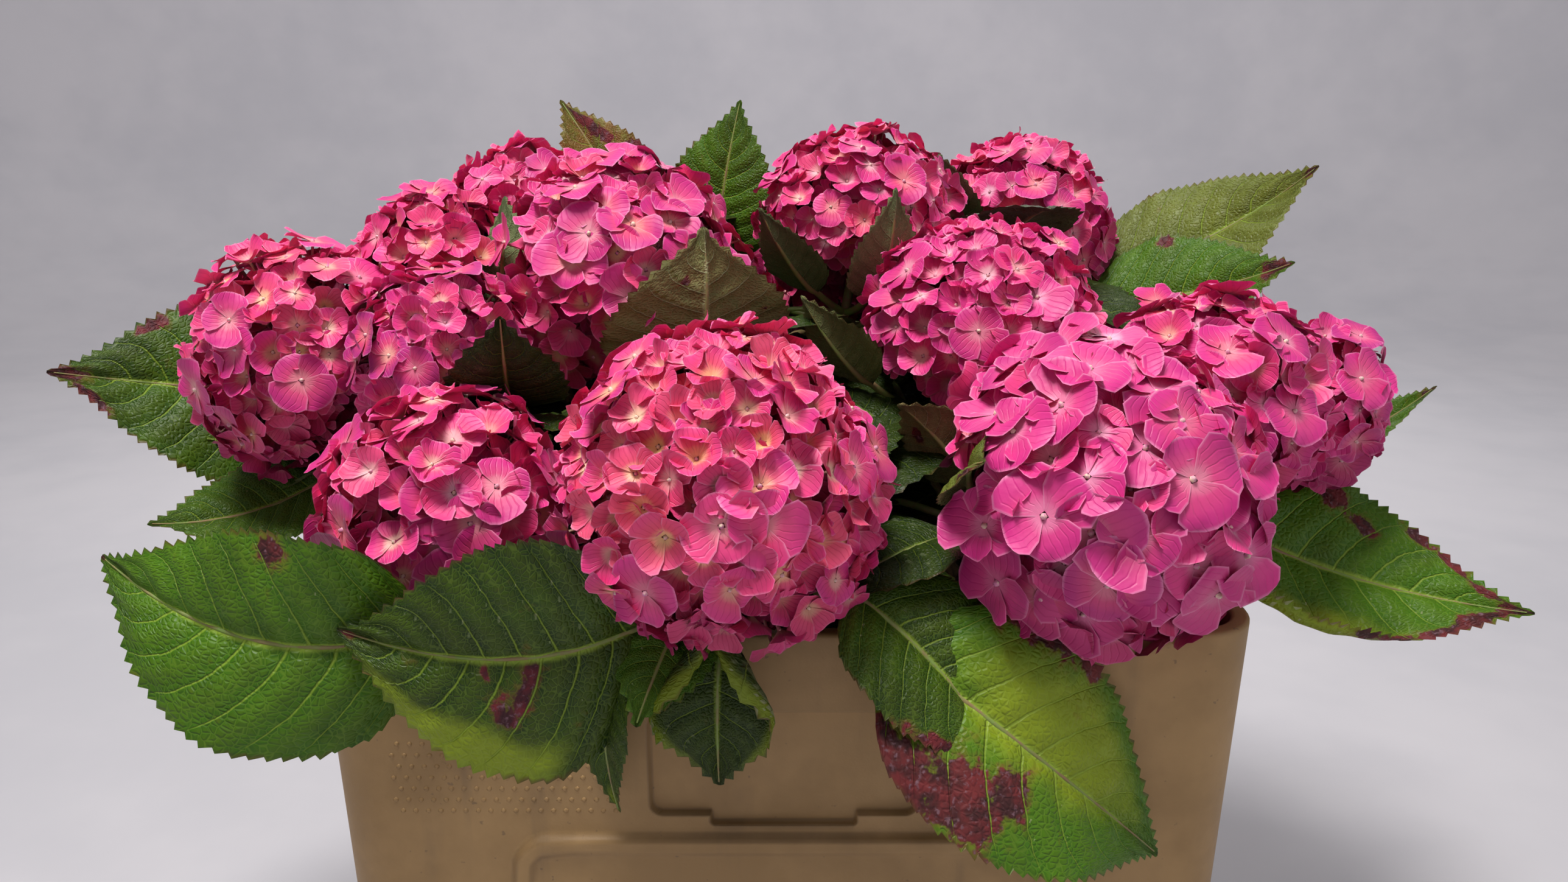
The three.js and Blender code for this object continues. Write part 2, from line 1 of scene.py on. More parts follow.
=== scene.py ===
# %% [markdown]
# # A mophead hydrangea in a flower container
# The real thing is a low clump of hydrangeas in full bloom that fills a beige plastic
# container: round pink flower heads, each made of dozens of four-sepalled florets,
# over big toothed leaves. The imported part gives the exact places, and this file
# dresses them. It starts with the frame, and keeps the imported part's box.

# %% Load the imported part
import math
from collections import namedtuple

import bmesh
import bpy
import numpy as np
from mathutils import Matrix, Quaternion, Vector
from mathutils import noise as solid_noise
from mathutils.kdtree import KDTree


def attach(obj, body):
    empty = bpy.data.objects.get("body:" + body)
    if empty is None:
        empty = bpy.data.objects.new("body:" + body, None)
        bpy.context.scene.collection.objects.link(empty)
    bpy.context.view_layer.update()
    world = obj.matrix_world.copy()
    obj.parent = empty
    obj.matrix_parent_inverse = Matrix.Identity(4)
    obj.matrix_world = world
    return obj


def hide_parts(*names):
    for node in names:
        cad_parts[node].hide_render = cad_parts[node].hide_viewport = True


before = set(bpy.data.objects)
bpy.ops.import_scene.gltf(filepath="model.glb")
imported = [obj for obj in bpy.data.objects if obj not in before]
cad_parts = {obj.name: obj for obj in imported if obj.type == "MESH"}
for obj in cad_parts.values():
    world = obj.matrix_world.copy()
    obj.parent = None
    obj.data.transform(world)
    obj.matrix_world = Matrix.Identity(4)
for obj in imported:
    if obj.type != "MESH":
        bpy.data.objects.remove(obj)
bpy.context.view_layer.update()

print("nodes:", len(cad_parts))

# %% [markdown]
# ## Camera
# The photograph is taken from the front, a little above the blooms. A wide lens close
# by makes the front bloom large and the back ones small, so the camera's place
# matters more than its angle. These numbers come from the container's front, whose
# edges were matched to the photograph's.

# %% Make the camera
camera_data = bpy.data.cameras.new("photo_camera")
camera_data.lens = 27.0
camera_data.sensor_width = 36.0
camera = bpy.data.objects.new("photo_camera", camera_data)
camera.location = (0.0, -0.5984, 0.5324)
camera.rotation_euler = (math.radians(75.0), 0.0, 0.0)
bpy.context.scene.collection.objects.link(camera)
bpy.context.scene.camera = camera
print("camera at", tuple(camera.location))

# %% [markdown]
# ## Helpers for node trees
# Every finish here is a tree of nodes, and so is every Geometry Nodes tree. One helper
# that adds a node, sets its options and fills or links its inputs keeps each tree
# short enough to read. Colours are given as a painter reads them off a screen, 0 to
# 255, and turned into the linear values that Blender renders with. A number that is the
# same all over a surface is set on the shader's own socket.

# %% Node helpers
# The sockets of a colour mix go by number, because several of them share a name
MIX_SHARE, MIX_FIRST, MIX_SECOND, MIX_COLOUR = 0, 6, 7, 2


def put(tree, kind, inputs=None, **options):
    """Add a node; each input takes a plain value or the socket that feeds it."""
    node = tree.nodes.new(kind)
    for option, value in options.items():
        setattr(node, option, value)
    for key, value in (inputs or {}).items():
        if isinstance(value, bpy.types.NodeSocket):
            tree.links.new(value, node.inputs[key])
        else:
            node.inputs[key].default_value = value
    return node


def calc(tree, operation, *values):
    return put(tree, "ShaderNodeMath", dict(enumerate(values)), operation=operation).outputs[0]


def band(tree, value, low, high):
    """A soft step from 0 at low to 1 at high; low may be the larger of the two."""
    inputs = {"Value": value, "From Min": low, "From Max": high}
    node = put(tree, "ShaderNodeMapRange", inputs, interpolation_type="SMOOTHSTEP")
    return node.outputs["Result"]


def blend(tree, share, first, second):
    inputs = {MIX_SHARE: share, MIX_FIRST: first, MIX_SECOND: second}
    return put(tree, "ShaderNodeMix", inputs, data_type="RGBA").outputs[MIX_COLOUR]


def tinge(tree, colour, second, mask, amount):
    """Blend a second colour into a colour by a part of a mask."""
    return blend(tree, calc(tree, "MULTIPLY", mask, amount), colour, second)


def noise(tree, place, scale, detail=3.0, roughness=0.55):
    inputs = {"Vector": place, "Scale": scale, "Detail": detail, "Roughness": roughness}
    return put(tree, "ShaderNodeTexNoise", inputs).outputs[0]


def stirred(tree, value, cloud, amount):
    """A value pushed up and down by a noise that runs from 0 to 1."""
    return calc(tree, "MULTIPLY_ADD", calc(tree, "SUBTRACT", cloud, 0.5), amount, value)


def attribute(tree, name):
    return put(tree, "ShaderNodeAttribute", attribute_name=name).outputs["Fac"]


def paint(red, green, blue):
    """A screen colour as a linear one."""
    linear = []
    for value in (red / 255, green / 255, blue / 255):
        linear.append(value / 12.92 if value <= 0.04045 else ((value + 0.055) / 1.055) ** 2.4)
    return (*linear, 1.0)


def new_finish(name):
    """A material with only its shader and output, and the two to wire up."""
    finish = bpy.data.materials.new(name)
    finish.use_nodes = True
    return finish, finish.node_tree, finish.node_tree.nodes["Principled BSDF"]


def wire(tree, shader, colour, roughness, height, depth):
    """Feed a colour, a roughness and a bump of the given depth in metres to a shader."""
    tree.links.new(colour, shader.inputs["Base Color"])
    if isinstance(roughness, bpy.types.NodeSocket):
        tree.links.new(roughness, shader.inputs["Roughness"])
    else:
        shader.inputs["Roughness"].default_value = roughness
    bump = put(tree, "ShaderNodeBump", {"Strength": 1.0, "Distance": depth, "Height": height})
    tree.links.new(bump.outputs["Normal"], shader.inputs["Normal"])


def new_group(name, inputs, outputs):
    """A shader node group; inputs are (name, type, value) and outputs (name, type)."""
    tree = bpy.data.node_groups.new(name, "ShaderNodeTree")
    for label, kind, value in inputs:
        socket = tree.interface.new_socket(label, in_out="INPUT", socket_type=kind)
        if value is not None:
            socket.default_value = value
    for label, kind in outputs:
        tree.interface.new_socket(label, in_out="OUTPUT", socket_type=kind)
    start = put(tree, "NodeGroupInput").outputs
    end = put(tree, "NodeGroupOutput").inputs
    return tree, start, end


print("helpers ready")

# %% [markdown]
# ## Two effects that several finishes share
# Nothing outdoors is one flat colour: plastic is scuffed, bark is weathered, compost is
# damp in places. The first group mixes two colours by soft noise at two scales and
# gives a height for the bump. The second draws a leaf's veins from the leaf's own
# map: one midrib, side veins that sweep forward, and a fine net between them.
# Both are node groups, so each finish can use them with its own values.

# %% Group: mottled colour
MOTTLE_FINER = 7.3
MOTTLE_FROM, MOTTLE_TO = 0.5, 0.85


def mottle_group():
    tree, start, end = new_group(
        "mottle",
        [
            ("Place", "NodeSocketVector", None),
            ("Scale", "NodeSocketFloat", 40.0),
            ("Colour", "NodeSocketColor", None),
            ("Second", "NodeSocketColor", None),
            ("Amount", "NodeSocketFloat", 1.0),
        ],
        [("Colour", "NodeSocketColor"), ("Height", "NodeSocketFloat")],
    )
    broad = noise(tree, start["Place"], start["Scale"], 4.0, 0.6)
    fine = noise(tree, start["Place"], calc(tree, "MULTIPLY", start["Scale"], MOTTLE_FINER))
    share = calc(tree, "MULTIPLY_ADD", fine, 0.35, broad)
    share = band(tree, share, MOTTLE_FROM, MOTTLE_TO)
    share = calc(tree, "MULTIPLY", share, start["Amount"])
    mixed = blend(tree, share, start["Colour"], start["Second"])
    tree.links.new(mixed, end["Colour"])
    tree.links.new(calc(tree, "MULTIPLY_ADD", fine, 0.6, broad), end["Height"])
    return tree


MOTTLE = mottle_group()


def mottled(tree, place, scale, colour, second, amount=1.0):
    """The mottle group with its own values: a mixed colour and a height."""
    inputs = {"Place": place, "Scale": scale, "Colour": colour, "Second": second,
              "Amount": amount}
    outputs = put(tree, "ShaderNodeGroup", inputs, node_tree=MOTTLE).outputs
    return outputs["Colour"], outputs["Height"]


print("group:", MOTTLE.name)

# %% Group: leaf veins
VEIN_PAIRS = 9.0
VEIN_SWEEP = 0.19
VEIN_CURVE = 1.3
VEIN_STAGGER = 0.22
VEIN_WANDER = 0.02
VEIN_WIDTH = 0.06
VEIN_THINNING = 0.035
NET_CELLS = 36.0
NET_WIDTH = 0.09
PUFF_WIDTH = 0.3


def vein_group():
    """Masks of the veins from a leaf's own map: along the blade in X, across it in Y."""
    tree, start, end = new_group(
        "leaf_veins",
        [("Place", "NodeSocketVector", None)],
        [
            ("Midrib", "NodeSocketFloat"),
            ("Side", "NodeSocketFloat"),
            ("Net", "NodeSocketFloat"),
            ("Puff", "NodeSocketFloat"),
            ("Out", "NodeSocketFloat"),
        ],
    )
    parts = put(tree, "ShaderNodeSeparateXYZ", {0: start["Place"]}).outputs
    across = calc(tree, "MULTIPLY_ADD", parts["Y"], 2.0, -1.0)
    out = calc(tree, "ABSOLUTE", across)
    wander = noise(tree, start["Place"], 7.0, 2.0)
    swept = calc(tree, "MULTIPLY", calc(tree, "POWER", out, VEIN_CURVE), -VEIN_SWEEP)
    swept = calc(tree, "ADD", parts["X"], swept)
    swept = calc(tree, "MULTIPLY_ADD", wander, VEIN_WANDER, swept)
    stagger = calc(tree, "MULTIPLY", calc(tree, "SIGN", across), VEIN_STAGGER)
    turns = calc(tree, "MULTIPLY_ADD", swept, VEIN_PAIRS, stagger)
    apart = calc(tree, "ABSOLUTE", calc(tree, "SUBTRACT", turns, calc(tree, "ROUND", turns)))
    width = calc(tree, "MULTIPLY_ADD", out, -VEIN_THINNING, VEIN_WIDTH)
    side = calc(tree, "SUBTRACT", 1.0, band(tree, calc(tree, "DIVIDE", apart, width), 0.25, 1.0))
    side = calc(tree, "MULTIPLY", side, band(tree, out, 1.0, 0.8))
    midrib = band(tree, out, 0.055, 0.015)
    stretch = {"Vector": start["Place"], "Scale": (1.5, 1.0, 1.0)}
    cells = put(tree, "ShaderNodeMapping", stretch).outputs[0]
    away = put(tree, "ShaderNodeTexVoronoi", {"Vector": cells, "Scale": NET_CELLS},
               feature="DISTANCE_TO_EDGE").outputs["Distance"]
    net = band(tree, away, NET_WIDTH, 0.01)
    puff = band(tree, away, 0.0, PUFF_WIDTH)
    ridge = calc(tree, "POWER", calc(tree, "MULTIPLY", apart, 2.0), 0.6)
    ridge = calc(tree, "SUBTRACT", 1.0, ridge)
    puff = calc(tree, "MULTIPLY_ADD", ridge, -1.4, puff)
    masks = {"Midrib": midrib, "Side": side, "Net": net, "Puff": puff, "Out": out}
    for label, mask in masks.items():
        tree.links.new(mask, end[label])
    return tree


VEINS = vein_group()
print("group:", VEINS.name)

# %% [markdown]
# ## Floor, backdrop and light
# The photograph was taken against a pale cloth under a soft light from above. A round
# studio floor whose edge curves up like a bowl gives the same even pale ground from
# every side. The light is one soft source above and in front, a weaker one from the
# right, one behind that keeps the far side readable, and two that only brighten the
# ground: a plant lit from one main side keeps the deep shade between its leaves.

# %% Floor and backdrop
FLOOR_PROFILE = ((0.6, 0.0), (1.6, 0.0), (2.6, 0.0), (3.0, 0.05), (3.35, 0.2),
                 (3.6, 0.5), (3.75, 1.0), (3.8, 2.4))
FLOOR_SIDES = 96
CLOTH_COLOURS = (paint(198, 195, 199), paint(188, 186, 191))


def mesh_object(name, points, faces):
    """An object with a smooth mesh, linked to the scene."""
    mesh = bpy.data.meshes.new(name)
    mesh.from_pydata([tuple(point) for point in points], [], faces)
    mesh.shade_smooth()
    piece = bpy.data.objects.new(name, mesh)
    bpy.context.scene.collection.objects.link(piece)
    return piece


def studio_floor():
    """A flat disc whose edge curves up all round, as rings of points round a middle."""
    points = [(0.0, 0.0, 0.0)]
    faces = []
    for radius, height in FLOOR_PROFILE:
        for k in range(FLOOR_SIDES):
            turn = math.tau * k / FLOOR_SIDES
            points.append((radius * math.cos(turn), radius * math.sin(turn), height))
    for k in range(FLOOR_SIDES):
        after = (k + 1) % FLOOR_SIDES
        faces.append((0, 1 + k, 1 + after))
        for ring in range(len(FLOOR_PROFILE) - 1):
            low = 1 + ring * FLOOR_SIDES
            high = low + FLOOR_SIDES
            faces.append((low + k, high + k, high + after, low + after))
    floor = mesh_object("studio_floor", points, faces)
    finish, tree, shader = new_finish("studio_cloth")
    place = put(tree, "ShaderNodeTexCoord").outputs["Object"]
    colour, height = mottled(tree, place, 1.2, *CLOTH_COLOURS)
    wire(tree, shader, colour, 0.9, height, 0.0004)
    floor.data.materials.append(finish)


studio_floor()
print("floor rings:", len(FLOOR_PROFILE))

# %% Lights
# Each light: its place, what it looks at, its size in metres, its power and its colour
LIGHTS = {
    "key_light": ((-0.4, -0.4, 2.2), (0.0, 0.0, 0.35), 0.7, 46.0, (1.0, 0.98, 0.96)),
    "right_light": ((1.9, -1.0, 1.2), (0.0, 0.0, 0.35), 1.2, 5.0, (1.0, 0.99, 1.0)),
    "back_light": ((0.3, 1.9, 1.8), (0.0, 0.0, 0.35), 1.4, 14.0, (1.0, 1.0, 1.0)),
    "cloth_light": ((0.0, 1.3, 2.4), (0.0, 3.4, 0.9), 1.6, 38.0, (1.0, 0.99, 1.0)),
    "ground_light": ((0.0, -1.4, 2.4), (0.0, -3.4, 0.9), 1.6, 31.0, (1.0, 0.99, 1.0)),
}
AIR_COLOUR = (0.93, 0.94, 1.0, 1.0)
AIR_STRENGTH = 0.13


def soft_light(name, place, target, size, power, colour):
    data = bpy.data.lights.new(name, "AREA")
    data.shape = "DISK"
    data.size = size
    data.energy = power
    data.color = colour
    light = bpy.data.objects.new(name, data)
    light.location = place
    light.rotation_euler = (Vector(target) - Vector(place)).to_track_quat("-Z", "Y").to_euler()
    bpy.context.scene.collection.objects.link(light)


for name, values in LIGHTS.items():
    soft_light(name, *values)
world = bpy.data.worlds.new("studio_air")
world.use_nodes = True
air = world.node_tree.nodes["Background"].inputs
air["Color"].default_value = AIR_COLOUR
air["Strength"].default_value = AIR_STRENGTH
bpy.context.scene.world = world
bpy.context.scene.view_settings.view_transform = "Standard"
print("lights:", len(LIGHTS))

# %% [markdown]
# ## The plant's measures
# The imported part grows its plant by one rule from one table: where each flower head is,
# how large it is, and which way each leaf goes. The same table and the same rule are
# written here again, in millimetres, so that the fine leaves and florets land exactly
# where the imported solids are. A leaf's row holds its heading (0 is the front, 90 the
# right), rise, reach, blade length, width, bow, roll, twist and the pair it stands in.

# %% The table of shoots
MM = 0.001
RIM_HEIGHT = 330.0
SHOOTS = {
    "front": {
        "head": (-25, -150, 62), "radius": 66, "tall": 1,
        "leaves": [
            (-66, -5, 170, 126, 102, 0.24, -114, 30, 0),
            (60, -32, 154, 106, 64, 0.2, 30, 0, 0),
            (-42, -52, 128, 88, 34, 0.34, 0, 0, 1),
            (72, -33, 222, 160, 94, 0.22, 60, -20, 1),
            (-8, -44, 108, 80, 74, 0.36, 0, 0, 2),
            (-25, -22, 108, 56, 44, 0.2, -10, 0, 2),
        ],
    },
    "front_left": {
        "head": (-146, -107, 39), "radius": 55, "tall": 1,
        "leaves": [
            (-70, 5, 180, 156, 89, 0.38, -106, 35, 0),
            (130, 20, 80, 52, 40, 0.1, 0, 0, 0),
        ],
    },
    "front_right": {
        "head": (128, -133, 55), "radius": 66, "tall": 1,
        "leaves": [
            (-16, 32, 110, 62, 32, 0.12, 60, 0, 0),
            (-91, 51, 76, 54, 42, 0.1, 60, 0, 0),
            (-112, -4, 124, 88, 66, 0.14, 0, 0, 1),
            (150, 6, 116, 84, 60, 0.12, 0, 0, 1),
        ],
    },
    "left": {
        "head": (-241, -14, 89), "radius": 55, "tall": 1.13,
        "leaves": [
            (-66, -22, 126, 94, 66, -0.2, -26, 0, 0),
            (-116, -34, 128, 94, 66, -0.1, 0, 0, 0),
        ],
    },
    "left_inner": {
        "head": (-165, -37, 94), "radius": 46, "tall": 1,
        "leaves": [
            (-170, 69, 110, 62, 30, -0.04, 150, 0, 0),
            (10, 41, 88, 60, 54, 0.16, 180, 0, 0),
        ],
    },
    "left_upper": {
        "head": (-179, 21, 128), "radius": 44, "tall": 1,
        "leaves": [
            (-156, -6, 104, 72, 48, 0.1, 0, 0, 0),
        ],
    },
    "back_left": {
        "head": (-146, 85, 143), "radius": 50, "tall": 1,
        "leaves": [
            (-168, -12, 118, 88, 58, 0.12, 0, 0, 0),
        ],
    },
    "top_left": {
        "head": (-86, 10, 124), "radius": 65, "tall": 1,
        "leaves": [
            (26, 53, 100, 84, 96, -0.3, 0, 0, 0),
            (146, -8, 116, 84, 62, 0.14, 0, 0, 0),
            (-20, -16, 108, 78, 56, 0.14, 0, 0, 1),
        ],
    },
    "top": {
        "head": (44, 84, 144), "radius": 59, "tall": 1,
        "leaves": [
            (-49, 45, 88, 62, 34, -0.1, 20, 0, 0),
            (23, 52, 92, 70, 38, -0.2, 0, 0, 0),
            (-112, -6, 116, 84, 62, 0.14, 0, 0, 1),
            (98, -14, 110, 80, 60, 0.14, 0, 0, 1),
        ],
    },
    "top_right": {
        "head": (146, 143, 140), "radius": 56, "tall": 1,
        "leaves": [
            (79, 22, 198, 138, 84, -0.16, 45, 0, 0),
            (-44, 59, 95, 58, 32, 0, 0, 0, 0),
            (68, 10, 178, 118, 78, -0.12, 50, 0, 1),
            (178, -22, 132, 96, 66, 0.16, 0, 0, 1),
        ],
    },
    "inner_right": {
        "head": (98, -16, 100), "radius": 60, "tall": 1,
        "leaves": [
            (-77, 45, 92, 58, 46, -0.1, 30, 0, 0),
            (-56, -14, 100, 70, 50, 0.14, 0, 0, 0),
            (128, -10, 112, 82, 60, 0.14, 0, 0, 1),
        ],
    },
    "right": {
        "head": (207, -40, 72), "radius": 56, "tall": 1,
        "leaves": [
            (80, -20, 214, 170, 104, -0.14, 40, 0, 0),
        ],
    },
    "right_end": {
        "head": (266, -4, 64), "radius": 44, "tall": 1,
        "leaves": [
            (134, -42, 124, 90, 64, 0.12, 0, 0, 0),
        ],
    },
    "back_right": {
        "head": (218, 97, 59), "radius": 52, "tall": 1,
        "leaves": [
            (76, 8, 186, 110, 52, -0.24, 20, 0, 0),
            (156, -38, 138, 102, 74, 0.2, 0, 0, 0),
        ],
    },
    "back_low": {
        "head": (-57, 168, 104), "radius": 55, "tall": 1,
        "leaves": [
            (46, 79, 148, 98, 64, 0.1, 120, 0, 0),
            (-86, 59, 170, 104, 56, 0.1, -80, 0, 0),
            (196, -40, 142, 106, 76, 0.24, 0, 0, 1),
            (-56, -4, 112, 80, 58, 0.12, 0, 0, 1),
        ],
    },
    "back": {
        "head": (43, 178, 100), "radius": 55, "tall": 1,
        "leaves": [
            (142, -42, 148, 110, 80, 0.24, 0, 0, 0),
            (215, -40, 139, 102, 74, 0.24, 0, 0, 0),
        ],
    },
    "left_back": {
        "head": (-223, 97, 66), "radius": 53, "tall": 1,
        "leaves": [
            (-64, 10, 214, 150, 108, -0.04, -60, 0, 0),
            (-66, 11, 190, 118, 66, -0.14, -30, 0, 0),
            (-158, -38, 138, 102, 76, 0.2, 0, 0, 1),
        ],
    },
}
Leaf = namedtuple("Leaf", "heading rise reach blade wide bow roll twist pair")
for shoot in SHOOTS.values():
    shoot["leaves"] = [Leaf(*row) for row in shoot["leaves"]]
leaf_count = sum(len(shoot["leaves"]) for shoot in SHOOTS.values())
print("shoots:", len(SHOOTS), "leaves:", leaf_count)

# %% The line of a shoot
STOOL_TOP = 307.3
FAN_POINT = np.array((0.0, 0.0, 270.0))
RIM_MIDDLE = np.array((0.0, 0.0, RIM_HEIGHT))
UP = np.array((0.0, 0.0, 1.0))
GAP = 0.3
UNDERSIDE = 0.45
STALK_LENGTH = 14.0
STEM_LENGTH = 38.0
FIRST_NODE = 8.0
NODE_SPACING = 10.0
FOOT_SPREAD = 0.9


def unit(vector):
    return vector / np.linalg.norm(vector)


def shoot_line(shoot):
    """Where a shoot's head, stalk, stem and cane begin and end."""
    head = np.array(shoot["head"], float) + RIM_MIDDLE
    axis = unit(head - FAN_POINT)
    stalk_end = UNDERSIDE * shoot["radius"] + STALK_LENGTH
    stem_top = stalk_end + GAP
    stem_foot = stem_top + STEM_LENGTH
    lift = STOOL_TOP + GAP - FAN_POINT[2]
    foot = np.array((axis[0], axis[1], 0.0)) * FOOT_SPREAD * lift / axis[2]
    foot[2] = STOOL_TOP + GAP
    return {"head": head, "axis": axis, "stalk_end": stalk_end, "stem_top": stem_top,
            "stem_foot": stem_foot, "cane_tip": stem_foot + GAP, "foot": foot}


def down_the_shoot(line, distance):
    return line["head"] - line["axis"] * distance


LINES = {name: shoot_line(shoot) for name, shoot in SHOOTS.items()}
print("front head at", LINES["front"]["head"])

# %% [markdown]
# ## Leaves
# A hydrangea leaf is a broad pointed oval with a saw-toothed edge. Its blade is quilted:
# it puffs up between the side veins, which sink into the upper side and stand proud of
# the underside. A flat outline with a bump map would show none of that in profile, so
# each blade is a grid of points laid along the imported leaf's own midrib, with two rows
# to a tooth, and its underside is a second sheet that meets the first one at the edge.
# Array sums make such a grid much faster than one point at a time. The small leaves
# inside the crown are hardly seen, so they get a coarser grid.

# %% Leaf outline and midrib
HALF_WIDTHS = np.array((
    (0.0, 0.04), (0.05, 0.42), (0.14, 0.8), (0.25, 0.96), (0.38, 1.0), (0.55, 0.88),
    (0.72, 0.58), (0.84, 0.28), (0.93, 0.09), (1.0, 0.012),
))
ACROSS = np.array((0.0, 0.09, 0.2, 0.33, 0.47, 0.61, 0.75, 0.87, 0.955, 1.0))
COARSE_ACROSS = np.array((0.0, 0.14, 0.36, 0.6, 0.84, 0.955, 1.0))
MIDRIB_STEPS = 200


def smooth_through(stations, at):
    """A smooth curve through stations, read at each of at."""
    places, values = stations[:, 0], stations[:, 1]
    slopes = np.gradient(values, places)
    left = np.clip(np.searchsorted(places, at, side="right") - 1, 0, len(places) - 2)
    span = places[left + 1] - places[left]
    share = np.clip((at - places[left]) / span, 0.0, 1.0)
    square, cube = share ** 2, share ** 3
    return ((2 * cube - 3 * square + 1) * values[left]
            + (cube - 2 * square + share) * span * slopes[left]
            + (3 * square - 2 * cube) * values[left + 1]
            + (cube - square) * span * slopes[left + 1])


def turned(vectors, axes, angles):
    """Vectors turned about unit axes by angles, each row by its own."""
    cosine, sine = np.cos(angles)[..., None], np.sin(angles)[..., None]
    along = np.sum(vectors * axes, axis=-1, keepdims=True)
    return vectors * cosine + np.cross(axes, vectors) * sine + axes * along * (1 - cosine)


def midrib(root, leaf, shares):
    """Points on the leaf's line at shares of its length, with the tangent, the direction
    across the blade and the direction it faces at each, and the line's length."""
    heading, rise = math.radians(leaf.heading), math.radians(leaf.rise)
    along = np.array((math.cos(rise) * math.sin(heading),
                      -math.cos(rise) * math.cos(heading), math.sin(rise)))
    face = np.array((-math.sin(rise) * math.sin(heading),
                     math.sin(rise) * math.cos(heading), math.cos(rise)))
    face = turned(face, along, np.array(math.radians(leaf.roll)))
    side = np.cross(along, face)
    tip = root + along * leaf.reach
    bend = (root + tip) / 2 + face * 2 * leaf.bow * leaf.reach
    fine = np.linspace(0.0, 1.0, MIDRIB_STEPS + 1)[:, None]
    path = (1 - fine) ** 2 * root + 2 * fine * (1 - fine) * bend + fine ** 2 * tip
    steps = np.linalg.norm(np.diff(path, axis=0), axis=1)
    length = np.concatenate(((0.0,), np.cumsum(steps)))
    at = np.interp(shares * length[-1], length, fine[:, 0])[:, None]
    points = (1 - at) ** 2 * root + 2 * at * (1 - at) * bend + at ** 2 * tip
    tangents = 2 * (1 - at) * (bend - root) + 2 * at * (tip - bend)
    tangents /= np.linalg.norm(tangents, axis=1, keepdims=True)
    twist = math.radians(leaf.twist) * shares
    sides = turned(np.broadcast_to(side, tangents.shape), tangents, twist)
    return points, tangents, sides, np.cross(sides, tangents), length[-1]


def stalk_share(root, leaf):
    """The share of the leaf's line that its bare stalk takes."""
    return 1 - leaf.blade / midrib(root, leaf, np.array((0.0, 1.0)))[-1]


print("outline at the middle:", smooth_through(HALF_WIDTHS, np.array((0.5,))))

# %% Curled margins
ROLL_TURN = 3.5


def rolled_margin(reach, half, along, looks):
    """Where a margin curls over towards the leaf's face: the new reach and the rise.
    The looks say how much of the blade stays flat, the curl's radius, how far along it
    goes, on which side (-1, 1 or 0 for both), and where it opens out of the midrib."""
    flat, radius, last, side, first = looks["rolled"]
    flat = flat * np.clip((along - first) / 0.35, 0.15, 1)
    out = np.abs(reach)
    turn = np.clip((out - flat * half) / radius, 0, ROLL_TURN)
    curled = np.minimum(out, flat * half) + radius * np.sin(turn)
    share = np.clip((last - along) / 0.25, 0, 1) * np.clip(half / (2.5 * radius) - 0.4, 0, 1)
    share = share * np.where(np.sign(reach) == -side, 0, 1)
    return (reach + share * (np.sign(reach) * curled - reach),
            share * radius * (1 - np.cos(turn)))


print("a margin turns by at most", round(math.degrees(ROLL_TURN)), "degrees")

# %% Leaf blade
# Millimetres, and for FINE and COARSE: the points across half a blade, the length of
# a tooth and the fewest teeth on a side
FINE = (ACROSS, 4.6, 12)
COARSE = (COARSE_ACROSS, 6.6, 10)
MOST_TEETH = 32
USUAL_WIDTH = 80
TOOTH_DEPTH = 1.9
PUFF_HEIGHT = 1.7
GROOVE_DEPTH, GROOVE_WIDTH = 1.1, 2.4
LEAF_FOLD = math.tan(math.radians(14.0))
EDGE_DROOP = 0.16
EDGE_WAVE = 0.045
PUCKER = 0.35


